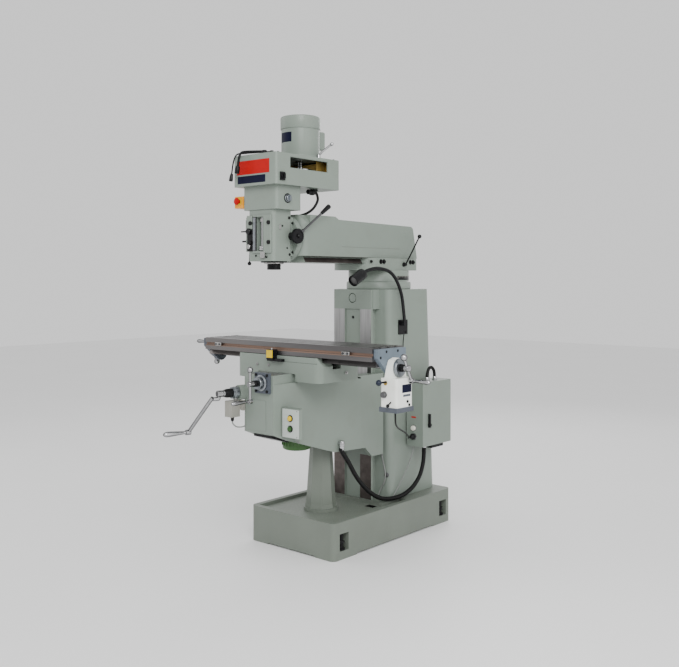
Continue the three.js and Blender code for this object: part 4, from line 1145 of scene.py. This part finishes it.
def saddle_details():
    low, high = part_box("saddle_casting")
    block("saddle_groove", Vector((0.014, low.y - 0.15 * MM, 1.0652)),
          Vector((0.300, low.y + 0.3 * MM, 1.0668)), RUBBER, "saddle", 0.05, 1)
    for k, x in enumerate((-150, -60)):
        cap_screw(f"gib_screw_{k + 1}", Vector((x * MM, low.y - 0.2 * MM, 1.040)), -Y, "saddle", 8, 5, STEEL)
    for sx in (-1, 1):
        a, b = sorted((sx * 0.145, sx * 0.318))
        block(f"wiper_{sx + 2}", Vector((a, high.y - 2 * MM, 0.964)), Vector((b, high.y + 4 * MM, 0.972)),
              RUBBER, "saddle", 1)
        turned(f"saddle_lock_{sx + 2}", Vector((sx * (high.x - 1.3 * MM), -0.46, 1.008)), X * sx,
               [(9, 0), (9, 5), (6, 6), (6, 12), (4, 13)], STEEL, "saddle", 28)
    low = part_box("limit_switch")[0]
    block("switch_lid", Vector((low.x + 6 * MM, low.y - 0.5 * MM, 1.084)),
          Vector((low.x + 54 * MM, low.y + 1 * MM, 1.126)), YELLOW, "saddle", 1)
    at = middle("limit_plunger")
    at.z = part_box("limit_plunger")[0].z
    pin = turned("switch_pin", at, Z, [(4.9, 0), (4.9, 13), (4.2, 16), (2, 18)], STEEL, "limit_plunger", 28)
    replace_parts(pin, "limit_plunger")


FEED_SIDE = 778


def power_feed_details():
    low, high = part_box("power_feed")
    block("feed_base_plate", low - mm(0.4, 0.4, 0.3),
          Vector((high.x + 0.4 * MM, high.y + 0.4 * MM, low.z + 24.5 * MM)), SLATE, "table", 1.2, 2)
    plate("feed_plate", mm(FEED_SIDE + 0.1, -519, 966), Y, Z, X, 76, 41, 0.8, NAVY, "table")
    plate("feed_plate_small", mm(FEED_SIDE + 0.1, -519, 931), Y, Z, X, 60, 11, 0.8, SLATE, "table", 1)
    for k, (y, z) in enumerate(((-514, 900), (-500, 882))):
        turned(f"feed_fuse_{k + 1}", mm(FEED_SIDE - 0.3, y, z), X, [(7, 0), (7, 4), (5, 6)], BLACK, "table",
               28)
    rows = [(17, 0), (17, 3), (15.5, 4), (15, 15), (13, 18.4)]
    knob = turned("speed_knob", rear_middle("feed_speed_knob"), -Y, rows, DULL_STEEL, "feed_speed_knob", 40)
    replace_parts(knob, "feed_speed_knob")
    turned("rapid_button", mm(708, -600.6, 994), -Y, [(11, 0), (11, 4), (8, 5), (7.6, 9)], GOLD, "table", 32)
    bm = bmesh.new()
    add_sweep(bm, smooth_path([mm(740, -600, 900), mm(742, -612, 896), mm(744, -628, 888)], 4), 4, 14)
    finish_piece("feed_toggle", bm, BLACK, "table")
    turned("feed_toggle_tip", mm(743, -624, 890), mm(3, -16, -8), [(6, 0), (8.5, 4), (9, 10), (6, 16)],
           BLACK, "table", 28)


def feed_lever():
    root, tip = mm(716, -605, 1000), mm(700, -646, 998)
    bm = bmesh.new()
    add_sweep(bm, [root, root.lerp(tip, 0.5), tip], 5, 16)
    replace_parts(finish_piece("feed_lever_rod", bm, BLACK_OXIDE, "feed_lever"), "feed_lever")
    ball = ball_rows([(4, -14.8), (10, -12), (14.2, -6.6)], 15.8)
    turned("feed_lever_ball", tip, tip - root, ball, BLUE_BLACK, "feed_lever", 32)


table_details()
saddle_details()
power_feed_details()
feed_lever()


# ---------- knee ----------
def lift_motor():
    low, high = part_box("elevation_motor")
    centre = middle("elevation_motor")
    base = Vector((centre.x, centre.y, low.z))
    rows = [(50, 0), (68, 2), (76, 6), (80, 14), (80, 206), (40, 210), (38, 212),
            (38, (high.z - low.z) / MM)]
    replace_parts(turned("lift_motor", base, Z, rows, GREEN, "knee", 72), "elevation_motor")
    for k in range(24):
        turn = Matrix.Rotation(math.tau * k / 24, 3, "Z")
        out = turn @ X
        side = turn @ Y * 1.2 * MM
        p = base + out * 78 * MM + Z * 26 * MM
        far = p + out * 6.5 * MM
        bm = bmesh.new()
        add_prism(bm, [p - side, p + side, far + side, far - side], Z * 0.150)
        finish_piece(f"motor_fin_{k + 1}", bm, GREEN, "knee", 0.4)
    # Painted shade: a black wedge standing for the shadow under the knee's front.
    bm = bmesh.new()
    add_prism(bm, [mm(-70, -770, 684), mm(-70, -640, 636), mm(-70, -640, 622), mm(-70, -770, 662)], X * 0.14)
    finish_piece("knee_shade_wedge", bm, BLACK, "knee", 2)


def rail_faces():
    """Scraped faces on the rail's top and sides. The top is open along the cross screw's slot."""
    for name, start, end, left, right in (
            ("front_left", -799, -641, -109, 12), ("front_right", -799, -641, 68, 109),
            ("front_end", -799, -673, 12.1, 67.9), ("rear_left", -640, -51, -139, 12),
            ("rear_right", -640, -51, 68, 139), ("rear_end", -129, -51, 12.1, 67.9)):
        block(f"rail_{name}", mm(left, start, 1003), mm(right, end, 1003.3), WAY_STEEL, "knee", 0.05, 1)
    for sx in (-1, 1):
        a, b = sorted((sx * 139.9, sx * 140.3))
        block(f"rail_side_{sx + 2}", mm(a, -639, 958), mm(b, -51, 1002), WAY_STEEL, "knee", 0.05, 1)


def cross_bracket_details():
    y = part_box("cross_screw_bracket")[0].y + 13.6 * MM
    for sx in (-1, 1):
        for sz in (-1, 1):
            at = Vector((0.040 + sx * 0.042, y, 0.961 + sz * 0.043))
            cap_screw(f"bracket_screw_{sx}_{sz}", at, -Y, "knee", 7.5, 6)
    rows = [(13.6, 0), (41, 0), (43, 1.5), (43, 9), (38, 13), (36, 14.6), (13.6, 14.8)]
    hollow_ring("bearing_flange", on_cross(-816.4), -Y, rows, DIAL_STEEL, "knee", 64)


def control_box_details():
    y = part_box("control_box")[0].y
    plate("button_plate", Vector((0.186, y - 0.05 * MM, 0.752)), X, Z, -Y, 122, 150, 1.0, BOX_GREY, "knee",
          4)
    for name, node, colour in (("up_cap", "up_button", YELLOW), ("down_cap", "down_button", GREEN)):
        at = rear_middle(node)
        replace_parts(turned(name, at, -Y, [(13, 0), (13, 16), (12.4, 19), (10, 20)], colour, node, 40), node)
        rows = [(14.6, -0.5), (18.5, -0.5), (18.5, 3.5), (17, 5), (14.6, 5)]
        hollow_ring(name + "_bezel", Vector((at.x, y, at.z)), -Y, rows, BLACK, "knee")
    for z in (684, 820):
        cap_screw(f"box_screw_{z}", Vector((0.232, y - 0.8 * MM, z * MM)), -Y, "knee", 3.4, 1.6, STEEL)
    route = [mm(150, -668, 676), mm(150, -662, 650), mm(146, -640, 630), mm(118, -620, 640)]
    lead("button_lead", route, 4, GREY_LEAD, "knee", 8)


def interlock_details():
    block("interlock_lid", mm(-189, -872.5, 772), mm(-136, -871.5, 846), SWITCH_GREY, "knee", 0.4)
    gland = mm(-162, -842, 744)
    turned("interlock_gland", gland + Z * 24 * MM, -Z,
           [(10, 0), (11, 2), (11, 10), (9, 12), (9, 22), (6.5, 28)], BLACK, "knee", 28)
    loop = [gland + mm(*p) for p in ((0, 0, -2), (2, 2, -18), (18, 14, -34), (44, 30, -34), (60, 42, -26))]
    lead("interlock_lead", loop, 3.6, GREY_LEAD, "knee")
    turned("interlock_plunger", mm(-150, -842, 851), Z, [(6, 0), (6, 7), (4, 8), (4, 13)], STEEL, "knee", 28)


lift_motor()
plate("knee_panel", mm(-22, -800.05, 784), X, Z, -Y, 156, 164, 2.2, PAINT, "knee", 6)
rail_faces()
cross_bracket_details()
control_box_details()
interlock_details()


# ---------- cabinet ----------
def cabinet_front():
    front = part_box("cabinet_box")[0].y
    at = rear_middle("cabinet_button")
    rows = [(15, 0), (15, 9), (13, 12.5), (8, 13.6)]
    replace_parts(turned("pilot_button", at, -Y, rows, WHITE, "cabinet_button", 40), "cabinet_button")
    bm = bmesh.new()
    add_tube_ring(bm, Vector((at.x, front, at.z)), -Y, [(16.6, -0.4), (20, -0.4), (20, 2.5), (16.6, 3)], 48)
    add_tube_ring(bm, Vector((0.284, front, 0.566)), -Y, [(18.6, -0.4), (22, -0.4), (22, 4), (18.6, 4.5)],
                  48)
    finish_piece("front_rings", bm, CHROME, FIXED)
    plate("front_mark", Vector((0.284, front - 0.1 * MM, 0.682)), X, Z, -Y, 34, 9, 0.6, RED, FIXED, 3)


def cabinet_door():
    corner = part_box("cabinet_door")[1]
    for number, z in ((57, 0.58), (82, 0.82)):
        at = Vector((corner.x - 6 * MM, corner.y + 0.2 * MM, z))
        turned(f"door_hinge_{number}", at, Z, [(4.6, 0), (5, 1), (5, 49), (4.6, 50)], BLACK_OXIDE, FIXED, 24)
    at = Vector((corner.x + 0.1 * MM, 0.274, 0.648))
    plate("door_mark", at, Y, Z, X, 12, 16, 0.5, RED, "cabinet_door", 2)


def cabinet_hose():
    low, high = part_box("cabinet_box")
    block("hanger", Vector((0.240, high.y - 0.130, low.z - 36 * MM)),
          Vector((0.300, high.y - 4 * MM, low.z - 1 * MM)), BLACK, FIXED, 4)
    loop = [mm(300, 330, 890), mm(300, 331, 925), mm(302, 345, 962), mm(304, 372, 972), mm(306, 396, 945),
            mm(306, 402, 890)]
    lead("top_hose", loop, 9.5, RUBBER, FIXED, 12, 18)
    rows = [(15, 0), (15, 7), (13, 9), (12.4, 20), (11, 22)]
    for k, p in enumerate((loop[0], loop[-1])):
        turned(f"hose_gland_{k + 1}", Vector((p.x, p.y, high.z - 0.5 * MM)), Z, rows, CHROME, FIXED, 32)


def conduit_fittings():
    rows = [(17, 0), (17, 8), (14, 10), (13.6, 20), (12, 22)]
    turned("conduit_gland", mm(292, 310, 508.4), -Z, rows, CHROME, FIXED, 36)
    rows = [(15.4, 0), (16.4, 1), (16.4, 24), (14, 30), (8, 33)]
    turned("elbow_sleeve", mm(182, -330, 572.6), Z, rows, CHROME, "knee", 36)
    turned("elbow_neck", mm(156, -330, 588), X, [(13, 0), (13.4, 1), (13.4, 16)], CHROME, "knee", 36)
    rows = [(14, 0), (14.4, 2), (14.4, 12), (13, 14), (12.4, 22)]
    turned("conduit_nut", mm(182, -330, 573.2), -Z, rows, CHROME, "knee", 36)


def column_leads():
    route = [mm(262, 240, 509), mm(262, 236, 470), mm(254, 190, 380), mm(244, 130, 290), mm(240, 70, 228),
             mm(236, 20, 211)]
    lead("earth_lead", route, 3.2, GREY_LEAD, FIXED)
    route = [mm(160, 50, 520), mm(176, 50, 440), mm(196, 50, 358), mm(188, 49, 305), mm(166, 46, 264),
             mm(152, 30, 212)]
    lead("column_lead", route, 4.2, GREY_LEAD, FIXED)


# ---------- work lamp ----------
def lamp_arm():
    route = [mm(240, 180, 1255), mm(240, 176, 1300), mm(240, 152, 1418), mm(240, 100, 1508),
             mm(240, 32, 1558), mm(240, -72, 1576), mm(240, -160, 1566), mm(240, -200, 1552)]
    bm = bmesh.new()
    add_sweep(bm, resample(smooth_path(route, 14), 0.0016),
              lambda s: 9.8 + 0.7 * math.cos(math.tau * s / 0.0064), 16)
    add_box(bm, mm(216.2, 150, 1180), mm(221, 238, 1267))
    add_box(bm, mm(220, 164, 1234), mm(250, 198, 1260))
    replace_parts(finish_piece("gooseneck", bm, BLACK, FIXED, angle=50), "lamp_arm")
    for k, z in enumerate((1192, 1255)):
        cap_screw(f"lamp_screw_{k + 1}", mm(220.8, 222, z), X, FIXED, 5, 4)
    route = [mm(232, 186, 1180), mm(228, 184, 1130), mm(226, 186, 1040), mm(227, 196, 940),
             mm(240, 214, 898)]
    lead("lamp_lead", route, 2.8, RUBBER, FIXED)


def lamp_head():
    tip, mouth = mm(240, -200, 1552), mm(240, -297, 1503)
    axis = (mouth - tip).normalized()
    rows = [(4, 6.2), (10, 6.4), (18, 10), (30, 15), (31.8, 20), (31.8, 42), (31, 43), (31, 46), (31.8, 47),
            (31.8, 112), (28.4, 112), (26.5, 99), (8, 98)]
    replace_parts(hollow_ring("lamp_shade", tip, axis, rows, BLACK, "lamp_head", 64), "lamp_head")
    rows = [(26, 0), (26.8, 0.6), (23, 3.4), (12, 5.6), (3, 6.2)]
    turned("lamp_lens", tip + axis * 98.5 * MM, axis, rows, GLASS, "lamp_head")


cabinet_front()
cabinet_door()
cabinet_hose()
conduit_fittings()
column_leads()
lamp_arm()
lamp_head()


# ---------- room ----------
def room():
    bpy.ops.mesh.primitive_plane_add(size=30, location=(0, 0, 0))
    floor = bpy.context.object
    floor.name = "floor"
    floor.data.materials.append(surface("floor_paint", (0.88, 0.88, 0.88), rough=(0.5, 0.6),
                                        mottle=0.01, patch=1, grain=60, bump=0.01))
    scene = bpy.context.scene
    if not scene.world:
        scene.world = bpy.data.worlds.new("room")
    scene.world.use_nodes = True
    background = scene.world.node_tree.nodes["Background"]
    background.inputs["Color"].default_value = (1.0, 1.0, 1.0, 1)
    background.inputs["Strength"].default_value = 1.0


def area_light(name, place, target, size, power):
    data = bpy.data.lights.new(name, "AREA")
    data.size = size
    data.energy = power
    light = bpy.data.objects.new(name, data)
    light.location = place
    light.rotation_euler = (Vector(target) - Vector(place)).to_track_quat("-Z", "Y").to_euler()
    bpy.context.collection.objects.link(light)


room()
area_light("key", (3.4, -3.6, 3.8), (0, -0.3, 1.2), 2.0, 170)
area_light("side", (5.0, -1.0, 2.6), (0, 0, 1.0), 3.0, 50)
area_light("fill", (-4.2, -2.4, 2.6), (0, -0.2, 1.1), 3.0, 30)
area_light("back", (-1.5, 4.0, 3.6), (0, 0, 1.4), 2.6, 60)
